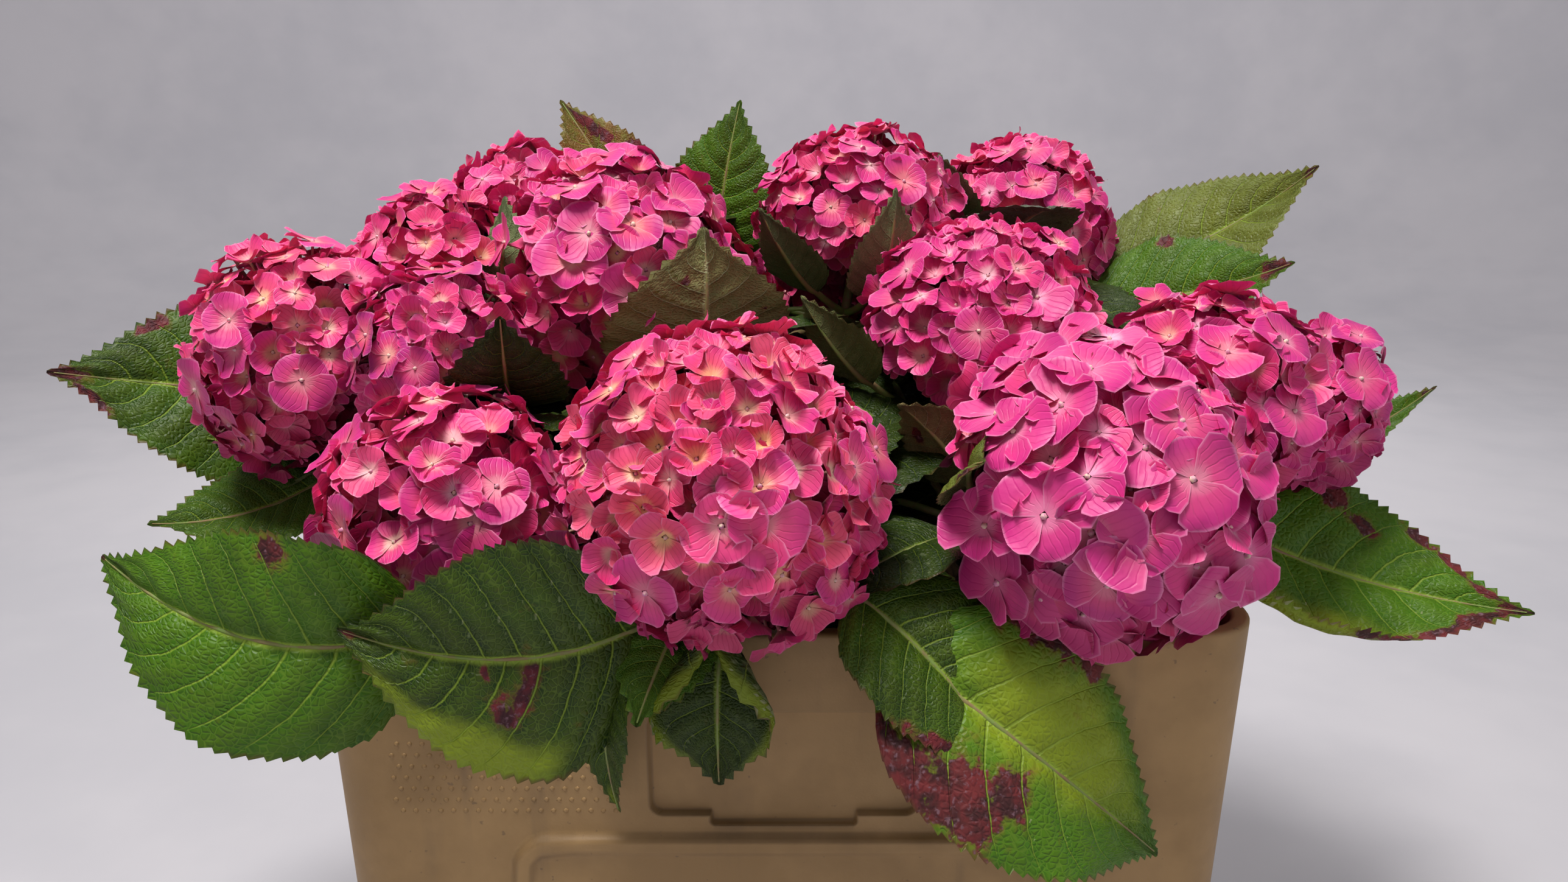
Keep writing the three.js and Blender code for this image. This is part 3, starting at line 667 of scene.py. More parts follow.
def blade_points(root, leaf, looks, chance):
    """The grid of a blade's upper side, its own map, and the way each point faces."""
    halves, tooth_length, fewest = COARSE if looks["coarse"] else FINE
    teeth = int(np.clip(round(leaf.blade / tooth_length), fewest, MOST_TEETH))
    rows = 2 * teeth
    step = 1.0 / rows
    shares = np.linspace(0.0, 1.0, rows + 1)
    across = np.concatenate((-halves[:0:-1], halves))
    along, over = np.meshgrid(shares, across, indexing="ij")
    out = np.abs(over)
    half = smooth_through(HALF_WIDTHS, shares)[:, None] * leaf.wide / 2
    odd = (np.arange(rows + 1) % 2)[:, None]
    fade = np.clip(np.minimum(along / 0.1, (1 - along) / 0.06), 0.0, 1.0)
    edge = np.where(out > 0.99, 1.0, np.where(out > 0.95, 0.45, 0.0)) * fade
    size = np.sqrt(leaf.wide / USUAL_WIDTH)
    tooth = odd * edge * (TOOTH_DEPTH * size) * chance.uniform(0.6, 1.25, along.shape)
    lean = odd * edge * step * chance.uniform(0.5, 0.95, along.shape)
    petiole = stalk_share(root, leaf)
    wander = 0.012 * np.sin(9 * along + chance.uniform(0, 6)) * np.sign(over) * out
    points, tangents, sides, faces, _ = midrib(root, leaf, petiole + shares * (1 - petiole))
    reach = over * half + np.sign(over) * tooth
    swept = along + wander - VEIN_SWEEP * out ** VEIN_CURVE
    turns = VEIN_PAIRS * swept + np.sign(over) * VEIN_STAGGER
    puff = np.sin(np.pi * turns) ** 2
    room = np.clip(np.abs(reach) / 5.0, 0, 1) * (1 - out ** 5)
    height = PUFF_HEIGHT * size * puff ** 0.6 * room
    height -= GROOVE_DEPTH * np.exp(-(reach / GROOVE_WIDTH) ** 2)
    height += LEAF_FOLD * np.abs(reach) - EDGE_DROOP * out ** 2 * half
    phase = chance.uniform(0, math.tau, 4)
    wave = np.sin(math.tau * 1.6 * along + phase[0] + np.sign(over))
    wave = wave + 0.6 * np.sin(math.tau * 3.7 * along + phase[1] + 2 * np.sign(over))
    height += EDGE_WAVE * wave * out ** 2.5 * half * fade
    pucker = np.sin(reach / 2.6 + phase[2]) * np.sin(along * leaf.blade / 3.1 + phase[3])
    height += PUCKER * pucker
    if "rolled" in looks:
        reach, curl = rolled_margin(reach, half, along, looks)
        height = height + curl
    grid = (points[:, None] + sides[:, None] * reach[..., None]
            + faces[:, None] * height[..., None]
            + tangents[:, None] * (lean * leaf.blade)[..., None])
    return grid, along, over, np.broadcast_to(faces[:, None], grid.shape)


print("points across a blade:", 2 * len(ACROSS) - 1)

# %% A piece from arrays
def piece_from(name, points, quads, maps, values, finishes, faces_of, sharp=None):
    """A mesh object from arrays: corner maps, point values and material numbers."""
    mesh = bpy.data.meshes.new(name)
    mesh.from_pydata((points * MM).tolist(), [], quads.tolist())
    mesh.shade_smooth()
    for label, places in maps.items():
        layer = mesh.uv_layers.new(name=label)
        layer.data.foreach_set("uv", places.astype(np.float32).ravel())
    for label, value in values.items():
        layer = mesh.attributes.new(label, "FLOAT", "POINT")
        layer.data.foreach_set("value", value.astype(np.float32))
    for finish in finishes:
        mesh.materials.append(finish)
    mesh.polygons.foreach_set("material_index", faces_of.astype(np.int32))
    if sharp is not None:
        ends = np.empty(2 * len(mesh.edges), np.int32)
        mesh.edges.foreach_get("vertices", ends)
        hard = sharp[ends.reshape(-1, 2)].all(axis=1)
        mesh.attributes.new("sharp_edge", "BOOLEAN", "EDGE").data.foreach_set("value", hard)
    mesh.update()
    piece = bpy.data.objects.new(name, mesh)
    bpy.context.scene.collection.objects.link(piece)
    return piece


def ring_quads(index):
    """The quads between the rows of an index grid."""
    corners = (index[:-1, :-1], index[:-1, 1:], index[1:, 1:], index[1:, :-1])
    return np.stack(corners, axis=-1).reshape(-1, 4)


def ring_corners(values):
    """The value at each corner of the quads between the rows of a grid of values."""
    corners = (values[:-1, :-1], values[:-1, 1:], values[1:, 1:], values[1:, :-1])
    return np.stack(corners, axis=2).reshape(-1, 4, values.shape[-1])


print("quads in a grid of 3 by 4 points:", len(ring_quads(np.arange(12).reshape(3, 4))))

# %% A whole leaf
LEAF_THICKNESS = 0.6
LEAF_STALK_SIDES = 8
STALK_RINGS, MIDRIB_RINGS = 8, 21
MIDRIB_END = 0.985
STALK_RADII = (2.3, 1.75, 0.3)
CELL_MARGIN = 0.02
CELLS_TO_A_LEAF = 3
PATCHES = ("stain", "pale")
SHADES = ("tint", "dull", "bronze", "shade")


def cell_places(places, number, cells_across):
    """Places from 0 to 1 moved into one cell of a square grid of cells."""
    corner = np.array((number % cells_across, number // cells_across), float)
    return (corner + CELL_MARGIN + (1 - 2 * CELL_MARGIN) * places) / cells_across


def leaf_patches(patches, along, across):
    """How strongly each point lies in the round patches (along, across, long, wide)."""
    total = np.zeros_like(along)
    for middle, out, long, wide in patches:
        away = ((along - middle) / long) ** 2 + ((across - out) / wide) ** 2
        total = np.maximum(total, np.exp(-away))
    return total


def leaf_stalk(root, leaf):
    """The stalk and the midrib in one tapering tube: its points, and its own map."""
    petiole = stalk_share(root, leaf)
    shares = np.concatenate((np.linspace(0, petiole, STALK_RINGS),
                             np.linspace(petiole, MIDRIB_END, MIDRIB_RINGS + 1)[1:]))
    path, _, sides, faces, _ = midrib(root, leaf, shares)
    blade_share = np.clip((shares - petiole) / (1 - petiole), 0, 1)
    radius = np.interp(shares, (0, petiole, 1), STALK_RADII)
    begun = np.minimum(blade_share * 12, 1)
    sunk = radius * (0.75 * begun) + 0.6 * begun
    turn = np.linspace(0, math.tau, LEAF_STALK_SIDES + 1)
    ring = sides[:, None] * np.cos(turn)[:, None] + faces[:, None] * np.sin(turn)[:, None]
    tube = path[:, None] - faces[:, None] * sunk[:, None, None] + ring * radius[:, None, None]
    own = np.stack(np.broadcast_arrays(shares[:, None], turn[None] / math.tau), axis=-1)
    return tube, own


def whole_leaf(root, leaf, looks, chance, first_cell, cells_across):
    """One leaf as arrays: the two sides of its blade, and the stalk with its midrib."""
    grid, along, over, facing = blade_points(root, leaf, looks, chance)
    rows, columns = along.shape
    top = np.arange(rows * columns).reshape(rows, columns)
    under = top.copy()
    inner = (slice(1, -1), slice(1, -1))
    below = np.arange((rows - 2) * (columns - 2)).reshape(rows - 2, -1)
    under[inner] = rows * columns + below
    lower = (grid - facing * LEAF_THICKNESS)[inner]
    own = np.stack((along, (over + 1) / 2), axis=-1)
    points = np.concatenate((grid.reshape(-1, 3), lower.reshape(-1, 3)))
    place = np.concatenate((own.reshape(-1, 2), own[inner].reshape(-1, 2)))
    edge = np.concatenate(((np.abs(over) > 0.99).ravel(), np.zeros(lower.size // 3, bool)))
    top_quads = ring_quads(top)
    under_quads = ring_quads(under)[:, ::-1]

    tube, tube_own = leaf_stalk(root, leaf)
    tube_points = tube[:, :-1].reshape(-1, 3)
    index = len(points) + np.arange(len(tube_points)).reshape(-1, LEAF_STALK_SIDES)
    index = np.concatenate((index, index[:, :1]), axis=1)
    tube_quads = ring_quads(index)[:, ::-1]
    tube_corners = ring_corners(tube_own)[:, ::-1]

    quads = np.concatenate((top_quads, under_quads, tube_quads))
    maps = [place[top_quads], place[under_quads], tube_corners]
    bake = [cell_places(part, first_cell + k, cells_across) for k, part in enumerate(maps)]
    everywhere = np.concatenate((place, tube_own[:, :-1].reshape(-1, 2)))
    signed = everywhere[:, 1] * 2 - 1
    blade_only = np.arange(len(everywhere)) < len(points)
    marks = {mark: leaf_patches(looks[mark], everywhere[:, 0], signed) * blade_only
             for mark in PATCHES}
    shades = {shade: np.full(len(everywhere), looks[shade]) for shade in SHADES}
    return {
        "points": np.concatenate((points, tube_points)),
        "quads": quads,
        "own": np.concatenate([part.reshape(-1, 2) for part in maps]),
        "bake": np.concatenate([part.reshape(-1, 2) for part in bake]),
        "side": np.repeat((0, 1, 2), (len(top_quads), len(under_quads), len(tube_quads))),
        "edge": np.concatenate((edge, np.zeros(len(tube_points), bool))),
    } | marks | shades


print("rings in a leaf's stalk and midrib:", STALK_RINGS + MIDRIB_RINGS)

# %% [markdown]
# ## Leaf finishes
# The upper side is a glossy mid green with sunken, paler veins. Older leaves carry
# purple-brown stains that stop at the veins, and their teeth have brown tips. The
# underside is duller and greyer, with raised pale veins. A few have gone olive or
# bronze, and those inside the crown lie in deep shade. Where a stain or a pale part lies, and
# how dull, bronze or shaded a leaf is, is dealt out leaf by leaf as a value on the
# points. The nodes break a mark's edge up with noise, so that it follows the leaf
# wherever it bends.

# %% Leaf finishes
OLIVE, PALE_OLIVE = paint(72, 78, 32), paint(132, 130, 62)
BRONZE = paint(118, 60, 38)
RUST = paint(128, 84, 40)
STAIN_DARK, STAIN_RED, STAIN_DUSTY = paint(56, 10, 32), paint(112, 30, 44), paint(120, 86, 100)
TOOTH_BROWN = paint(92, 58, 34)
CROWN_SHADE = paint(8, 22, 6)
LEAF_GLOSS = 0.26
TOP_GREENS = (paint(17, 44, 7), paint(60, 108, 10), paint(132, 150, 30), paint(146, 172, 58))
UNDER_GREENS = (paint(84, 102, 60), paint(126, 142, 90), paint(164, 172, 120),
                paint(178, 184, 134))


def leaf_finish(name, greens, roughness, raised):
    """Greens are the deep, the fresh, the yellow and the veins' one; raised is the
    height of the quilting, below 0 where the veins stand proud."""
    deep, fresh, yellow, vein = greens
    finish, tree, shader = new_finish(name)
    own = put(tree, "ShaderNodeUVMap", uv_map="own").outputs[0]
    place = put(tree, "ShaderNodeTexCoord").outputs["Object"]
    veins = put(tree, "ShaderNodeGroup", {0: own}, node_tree=VEINS).outputs
    cloudy = noise(tree, place, 38.0, 4.0)
    blotch = noise(tree, place, 120.0, 3.0)
    speckle = noise(tree, place, 420.0, 2.0)
    freshness = stirred(tree, attribute(tree, "tint"), cloudy, 0.9)
    colour = blend(tree, band(tree, freshness, 0.1, 0.9), deep, fresh)
    olive = blend(tree, cloudy, OLIVE, PALE_OLIVE)
    colour = blend(tree, attribute(tree, "dull"), colour, olive)
    patchy = band(tree, blotch, 0.25, 0.6)
    colour = tinge(tree, colour, BRONZE, attribute(tree, "bronze"), patchy)
    pale = stirred(tree, attribute(tree, "pale"), cloudy, 0.8)
    colour = blend(tree, band(tree, pale, 0.25, 0.8), colour, yellow)
    # Painted highlight: the puffed parts between the veins turn a little yellower
    colour = tinge(tree, colour, yellow, band(tree, veins["Puff"], -0.9, 0.7), 0.16)
    colour = tinge(tree, colour, vein, veins["Net"], 0.2)
    colour = tinge(tree, colour, vein, veins["Side"], 0.56)
    reach = stirred(tree, attribute(tree, "stain"), speckle, 0.3)
    reach = stirred(tree, reach, blotch, 1.1)
    reach = stirred(tree, reach, cloudy, 0.8)
    reach = calc(tree, "MULTIPLY_ADD", veins["Side"], -0.3, reach)
    colour = tinge(tree, colour, RUST, band(tree, reach, 0.2, 0.5), 0.4)
    stained = band(tree, reach, 0.4, 0.52)
    brown = blend(tree, band(tree, blotch, 0.35, 0.65), STAIN_DARK, STAIN_RED)
    brown = blend(tree, band(tree, speckle, 0.55, 0.75), brown, STAIN_DUSTY)
    colour = tinge(tree, colour, brown, stained, 0.92)
    colour = tinge(tree, colour, vein, veins["Midrib"], 0.8)
    tips = calc(tree, "MULTIPLY", band(tree, veins["Out"], 0.955, 1.0),
                band(tree, cloudy, 0.42, 0.6))
    colour = tinge(tree, colour, TOOTH_BROWN, tips, 0.75)
    colour = blend(tree, attribute(tree, "shade"), colour, CROWN_SHADE)
    quilted = calc(tree, "MULTIPLY", veins["Puff"], 0.55)
    quilted = calc(tree, "MULTIPLY_ADD", veins["Side"], -0.9, quilted)
    quilted = calc(tree, "MULTIPLY_ADD", veins["Midrib"], -0.6, quilted)
    height = calc(tree, "MULTIPLY", quilted, raised)
    height = calc(tree, "MULTIPLY_ADD", speckle, 0.12, height)
    roughness = calc(tree, "MULTIPLY_ADD", stained, 0.12, roughness)
    wire(tree, shader, colour, roughness, height, 0.0005)
    shader.inputs["Specular IOR Level"].default_value = LEAF_GLOSS
    return finish


def stalk_finish():
    finish, tree, shader = new_finish("leaf_stalk")
    place = put(tree, "ShaderNodeTexCoord").outputs["Object"]
    colour, height = mottled(tree, place, 60.0, paint(122, 148, 70), paint(150, 96, 84), 0.7)
    wire(tree, shader, colour, 0.5, height, 0.0003)
    return finish


LEAF_TOP = leaf_finish("leaf_top", TOP_GREENS, 0.46, 1.0)
LEAF_UNDER = leaf_finish("leaf_under", UNDER_GREENS, 0.62, -1.0)
LEAF_STALK = stalk_finish()
print("leaf finishes:", LEAF_TOP.name, LEAF_UNDER.name, LEAF_STALK.name)

# %% Marks on single leaves
# By shoot and row: how fresh, dull, bronze or shaded the leaf is, from 0 to 1, its stained
# and its pale patches as in leaf_patches, and its curled margins as in rolled_margin
LEAF_LOOKS = {
    ("front", 0): {
        "tint": 0.2, "pale": ((0.6, -0.85, 0.3, 0.32),),
        "stain": ((0.38, -0.12, 0.035, 0.14), (0.41, -0.28, 0.04, 0.14),
                  (0.46, -0.44, 0.035, 0.12), (0.52, -0.08, 0.015, 0.08),
                  (0.97, 0.0, 0.03, 0.5))},
    ("front", 1): {"tint": 0.3, "stain": ((0.8, 0.95, 0.3, 0.14), (0.95, 0.0, 0.08, 1.0))},
    ("front", 2): {"tint": 0.3, "pale": ((0.95, 0.0, 0.12, 1.0),)},
    ("front", 3): {
        "tint": 0.85, "pale": ((0.5, -0.3, 0.4, 0.6),),
        "stain": ((0.18, 0.9, 0.14, 0.3), (0.34, 0.7, 0.12, 0.32), (0.43, 0.45, 0.07, 0.25),
                  (0.3, -0.9, 0.12, 0.2), (0.45, -0.95, 0.06, 0.1))},
    ("front", 4): {
        "tint": 0.1, "shade": 0.3, "rolled": (0.56, 7.0, 0.85, 0, 0.2),
        "pale": ((0.4, 1.0, 0.5, 0.3), (0.4, -1.0, 0.5, 0.3))},
    ("front_left", 0): {
        "tint": 0.62, "stain": ((0.42, 0.86, 0.05, 0.12), (1.0, 0.0, 0.03, 1.0))},
    ("top_left", 0): {
        "tint": 0.3, "dull": 0.7, "bronze": 0.35,
        "stain": ((0.5, -0.7, 0.03, 0.1), (0.7, 0.3, 0.03, 0.1))},
    ("top", 0): {"tint": 0.3, "shade": 0.2},
    ("left_inner", 1): {"tint": 0.1, "shade": 0.5},
    ("front_right", 0): {"tint": 0.6, "dull": 0.6, "stain": ((0.8, 0.8, 0.1, 0.2),)},
    ("front_right", 1): {
        "tint": 0.6, "dull": 0.6, "bronze": 0.4, "stain": ((0.6, 0.5, 0.1, 0.2),)},
    ("inner_right", 0): {"tint": 0.5, "dull": 0.5},
    ("right", 0): {
        "tint": 0.7, "rolled": (0.74, 5.0, 0.85, 1, -1.0), "pale": ((0.4, 0.8, 0.3, 0.3),),
        "stain": ((0.96, 0.0, 0.06, 0.9), (0.86, 0.75, 0.08, 0.25), (0.76, 0.9, 0.07, 0.16),
                  (0.65, 0.9, 0.06, 0.14), (0.55, 0.95, 0.05, 0.12), (0.88, -0.7, 0.06, 0.25),
                  (0.78, -0.9, 0.06, 0.14), (0.68, -0.9, 0.05, 0.14), (0.52, -0.6, 0.04, 0.12),
                  (0.42, -0.8, 0.05, 0.14))},
    ("left_back", 0): {
        "tint": 0.35,
        "stain": ((1.0, 0.0, 0.12, 1.0), (0.86, -0.9, 0.06, 0.2), (0.7, 0.9, 0.06, 0.1))},
    ("left_back", 1): {"tint": 0.7, "dull": 0.5},
    ("top_right", 0): {"tint": 0.5, "dull": 0.75, "stain": ((0.98, 0.0, 0.05, 1.0),)},
    ("top_right", 2): {
        "tint": 0.6, "stain": ((0.92, 0.0, 0.08, 1.0), (0.4, -0.9, 0.05, 0.12))},
    ("back_right", 0): {"tint": 0.5, "stain": ((0.97, 0.0, 0.07, 1.0),)},
    ("back_low", 0): {"tint": 0.5},
    ("back_low", 1): {
        "tint": 0.4, "dull": 0.8, "bronze": 0.8,
        "stain": ((0.8, 0.5, 0.2, 0.3), (0.5, 0.8, 0.1, 0.2))},
}
USUAL_LEAF = {"coarse": False, "dull": 0.0, "bronze": 0.0, "shade": 0.0, "stain": (), "pale": ()}
INNER_LEAF = USUAL_LEAF | {"coarse": True, "tint": 0.1, "shade": 0.45}
print("leaves with marks of their own:", len(LEAF_LOOKS))

# %% Leaves inside the crown
# Degrees from straight inwards, and the least and the most rise
INNER_TURNS = ((-110, 0, 36), (-55, 0, 36), (0, 0, 36), (55, 0, 36), (110, 0, 36),
               (-150, -30, -6), (-80, -24, 0), (-25, -24, 0), (25, -24, 0), (80, -24, 0),
               (150, -30, -6))
# A shoot whose head is further forward than this gets none that turns further outwards
FRONT_LIMIT, OUTWARD_TURN = -80, 120
INNER_REACHES = (118, 102, 88, 76)
INNER_BLADE, INNER_WIDTH, INNER_BOW = 0.74, 0.62, 0.1
PAIRS_OF_LEAVES = 3


def leaf_root(line, pair):
    """Where the leaves of a pair leave their stem."""
    return down_the_shoot(line, line["stem_top"] + FIRST_NODE + NODE_SPACING * pair)


def inner_leaves(name):
    """Short shaded leaves, the longest ones for which no flower head is in the way."""
    shoot, line = SHOOTS[name], LINES[name]
    chance = np.random.default_rng(90 + sum(map(ord, name)))
    heads = [(LINES[other]["head"], 0.9 * SHOOTS[other]["radius"]) for other in SHOOTS]
    inward = math.degrees(math.atan2(-shoot["head"][0], shoot["head"][1]))
    leaves = []
    for number, (turn, least, most) in enumerate(INNER_TURNS):
        if abs(turn) > OUTWARD_TURN and shoot["head"][1] < FRONT_LIMIT:
            continue
        pair = number % PAIRS_OF_LEAVES
        root = leaf_root(line, pair)
        heading = inward + turn + chance.uniform(-8, 8)
        rise = chance.uniform(least, most)
        for reach in INNER_REACHES:
            leaf = Leaf(heading, rise, reach, INNER_BLADE * reach, INNER_WIDTH * reach,
                        INNER_BOW, 0, 0, pair)
            path = midrib(root, leaf, np.linspace(0.3, 1.0, 8))[0]
            gaps = [np.linalg.norm(path - head, axis=1).min() - room for head, room in heads]
            if min(gaps) > 0:
                leaves.append(leaf)
                break
    return leaves


print("leaves inside the crown:", sum(len(inner_leaves(name)) for name in SHOOTS))

# %% Grow the foliage
def grow_foliage(name, shoot):
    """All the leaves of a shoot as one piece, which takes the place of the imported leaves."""
    chance = np.random.default_rng(sum(map(ord, name)))
    rows = shoot["leaves"] + inner_leaves(name)
    cells_across = math.ceil(math.sqrt(CELLS_TO_A_LEAF * len(rows)))
    leaves, count = [], 0
    for k, leaf in enumerate(rows):
        looks = INNER_LEAF
        if k < len(shoot["leaves"]):
            looks = USUAL_LEAF | {"tint": chance.uniform(0.2, 0.6)}
            looks = looks | LEAF_LOOKS.get((name, k), {})
        root = leaf_root(LINES[name], leaf.pair)
        cell = CELLS_TO_A_LEAF * k
        grown = whole_leaf(root, leaf, looks, chance, cell, cells_across)
        grown["quads"] = grown["quads"] + count
        count += len(grown["points"])
        leaves.append(grown)
    joined = {key: np.concatenate([leaf[key] for leaf in leaves]) for key in leaves[0]}
    piece = piece_from(
        f"foliage_{name}", joined["points"], joined["quads"],
        {"own": joined["own"], "OFBake": joined["bake"]},
        {key: joined[key] for key in SHADES + PATCHES},
        (LEAF_TOP, LEAF_UNDER, LEAF_STALK), joined["side"], joined["edge"])
    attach(piece, "root")
    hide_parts(f"leaves_{name}")
    return joined["points"]


leaf_points = np.concatenate([grow_foliage(name, shoot) for name, shoot in SHOOTS.items()])
near_leaf = KDTree(len(leaf_points))
for number, point in enumerate(leaf_points):
    near_leaf.insert(point, number)
near_leaf.balance()
print("leaf points:", len(leaf_points))

# %% [markdown]
# ## Florets
# A mophead's floret is four broad sepals round a small bead. Young ones are deep
# cups, older ones open flat, and each sepal overlaps the next like a fan. Six kinds are
# modelled once each, with few faces because each is repeated hundreds of times, and
# they differ in depth, breadth and ripple. Their map runs across the sepal and out
# along it, so that throat, veins and rim follow the sepal on every copy.

# %% Model the kinds of floret
SEPAL_ROWS = np.array((0.0, 0.26, 0.58, 0.86, 1.0))
SEPAL_HALF_WIDTHS = np.array((0.09, 0.41, 0.56, 0.46, 0.37))
SEPAL_COLUMNS = np.array((-1.0, -0.5, 0.0, 0.5, 1.0))
SEPALS = 4
SEPAL_POINTS = SEPAL_ROWS.size * SEPAL_COLUMNS.size
BEAD_SIDES = 6
BEAD_RINGS = ((0.075, 0.0), (0.05, 0.075))
FLORET_KINDS = (
    {"depth": 0.80, "spoon": 0.20, "broad": 0.96, "ripple": 0.03, "uneven": 0.08},
    {"depth": 0.62, "spoon": 0.26, "broad": 1.00, "ripple": 0.05, "uneven": 0.12},
    {"depth": 0.42, "spoon": 0.24, "broad": 1.04, "ripple": 0.06, "uneven": 0.12},
    {"depth": 0.24, "spoon": 0.16, "broad": 1.08, "ripple": 0.08, "uneven": 0.16},
    {"depth": 0.12, "spoon": 0.06, "broad": 1.12, "ripple": 0.06, "uneven": 0.12},
    {"depth": -0.10, "spoon": 0.12, "broad": 1.06, "ripple": 0.10, "uneven": 0.18},
)


def sepal_sheet(depth, spoon, broad, ripple, size, chance):
    """One sepal along X: a round hollowed lobe on a narrow foot, as a grid of points."""
    out, across = np.meshgrid(SEPAL_ROWS, SEPAL_COLUMNS, indexing="ij")
    half = broad * SEPAL_HALF_WIDTHS[:, None]
    length = 0.07 + 0.93 * out * (1 - 0.2 * abs(depth) * out) - 0.13 * across ** 2 * out ** 4
    rise = depth * out ** 0.8 * (1 - 0.18 * out ** 2)
    rise = rise + spoon * half * (across ** 2 - 0.4) * 1.6
    rise = rise + 0.09 * across * out + chance.uniform(-0.08, 0.08) * out
    rise = rise + ripple * np.sin(2.8 * across + chance.uniform(0, 6)) * out ** 2
    rise = rise - chance.uniform(0.0, 0.1) * np.clip(out - 0.7, 0, 1) * 3
    rise = rise - rise[0, 2]
    return size * np.stack((length, half * across, rise), axis=-1), out, across


def floret_kind(number, depth, spoon, broad, ripple, uneven):
    """One floret as an object. In its bake map the sepals lie two by two, and the bead
    beside them."""
    chance = np.random.default_rng(40 + number)
    points, quads, own, bake = [], [], [], []
    for k in range(SEPALS):
        size = 1 + chance.uniform(-uneven, uneven)
        sheet, out, across = sepal_sheet(depth, spoon, broad, ripple, size, chance)
        turn = math.radians(90 * k + chance.uniform(-8, 8))
        flat = np.array(((math.cos(turn), math.sin(turn), 0.0),
                         (-math.sin(turn), math.cos(turn), 0.0), (0.0, 0.0, 1.0)))
        index = np.arange(out.size).reshape(out.shape) + SEPAL_POINTS * k
        place = np.stack(((across + 1) / 2, out), axis=-1)
        corner = np.array((0.45 * (k % 2), 0.5 * (k // 2)))
        points.append((sheet @ flat).reshape(-1, 3))
        quads += ring_quads(index)[:, ::-1].tolist()
        corners = ring_corners(place)[:, ::-1].reshape(-1, 2)
        own.append(corners)
        bake.append(corner + 0.01 + corners * (0.43, 0.48))
    bead = []
    turn = np.arange(BEAD_SIDES) * math.tau / BEAD_SIDES
    for radius, height in BEAD_RINGS:
        ring = (radius * np.cos(turn), radius * np.sin(turn), turn * 0 + height)
        bead.append(np.stack(ring, axis=-1))
    first = SEPALS * SEPAL_POINTS
    index = first + np.arange(len(BEAD_RINGS) * BEAD_SIDES).reshape(-1, BEAD_SIDES)
    cap = index[-1].tolist()
    index = np.concatenate((index, index[:, :1]), axis=1)
    faces = quads + ring_quads(index).tolist() + [cap]
    places = np.concatenate(bead)[:, :2]
    spread = {first + k: (0.95 + 0.4 * x, 0.5 + 0.8 * y) for k, (x, y) in enumerate(places)}
    mesh = bpy.data.meshes.new(f"floret_{number}")
    mesh.from_pydata(np.concatenate(points + bead).tolist(), [], faces)
    mesh.shade_smooth()
    loose = np.array([spread[corner] for face in faces[len(quads):] for corner in face])
    for label, parts in (("own", own + [loose * 0 + 0.5]), ("OFBake", bake + [loose])):
        layer = mesh.uv_layers.new(name=label)
        layer.data.foreach_set("uv", np.concatenate(parts).astype(np.float32).ravel())
    is_bead = np.arange(len(faces)) >= len(quads)
    mesh.attributes.new("bead", "BOOLEAN", "FACE").data.foreach_set("value", is_bead)
    return bpy.data.objects.new(f"floret_{number}", mesh)


florets = bpy.data.collections.new("floret_kinds")
for number, shape in enumerate(FLORET_KINDS):
    florets.objects.link(floret_kind(number, **shape))

# %% [markdown]
# ## Floret finishes
# Colour runs from coral through rose to a deep magenta, floret by floret. Most have a
# cream or pale pink throat, faint veins that fan out from it and a thin paler rim. The
# ones deep in the head and on its underside get a painted shade of darker crimson. All
# of this comes from four values that ride on each floret's points, so one finish
# colours every head.

# %% Floret finishes
PETAL_STOPS = ((0.0, paint(240, 82, 122)), (0.3, paint(234, 58, 132)),
               (0.55, paint(224, 46, 140)), (0.8, paint(206, 38, 128)),
               (1.0, paint(186, 38, 126)))
INNER_PINKS = (paint(224, 66, 140), paint(238, 90, 112))
THROATS = (paint(250, 206, 226), paint(248, 220, 150))
PETAL_VEIN = paint(170, 30, 92)
PETAL_RIM = paint(252, 176, 212)
CRIMSON_SHADE = paint(156, 14, 78)
VEINS_ACROSS = 22.0


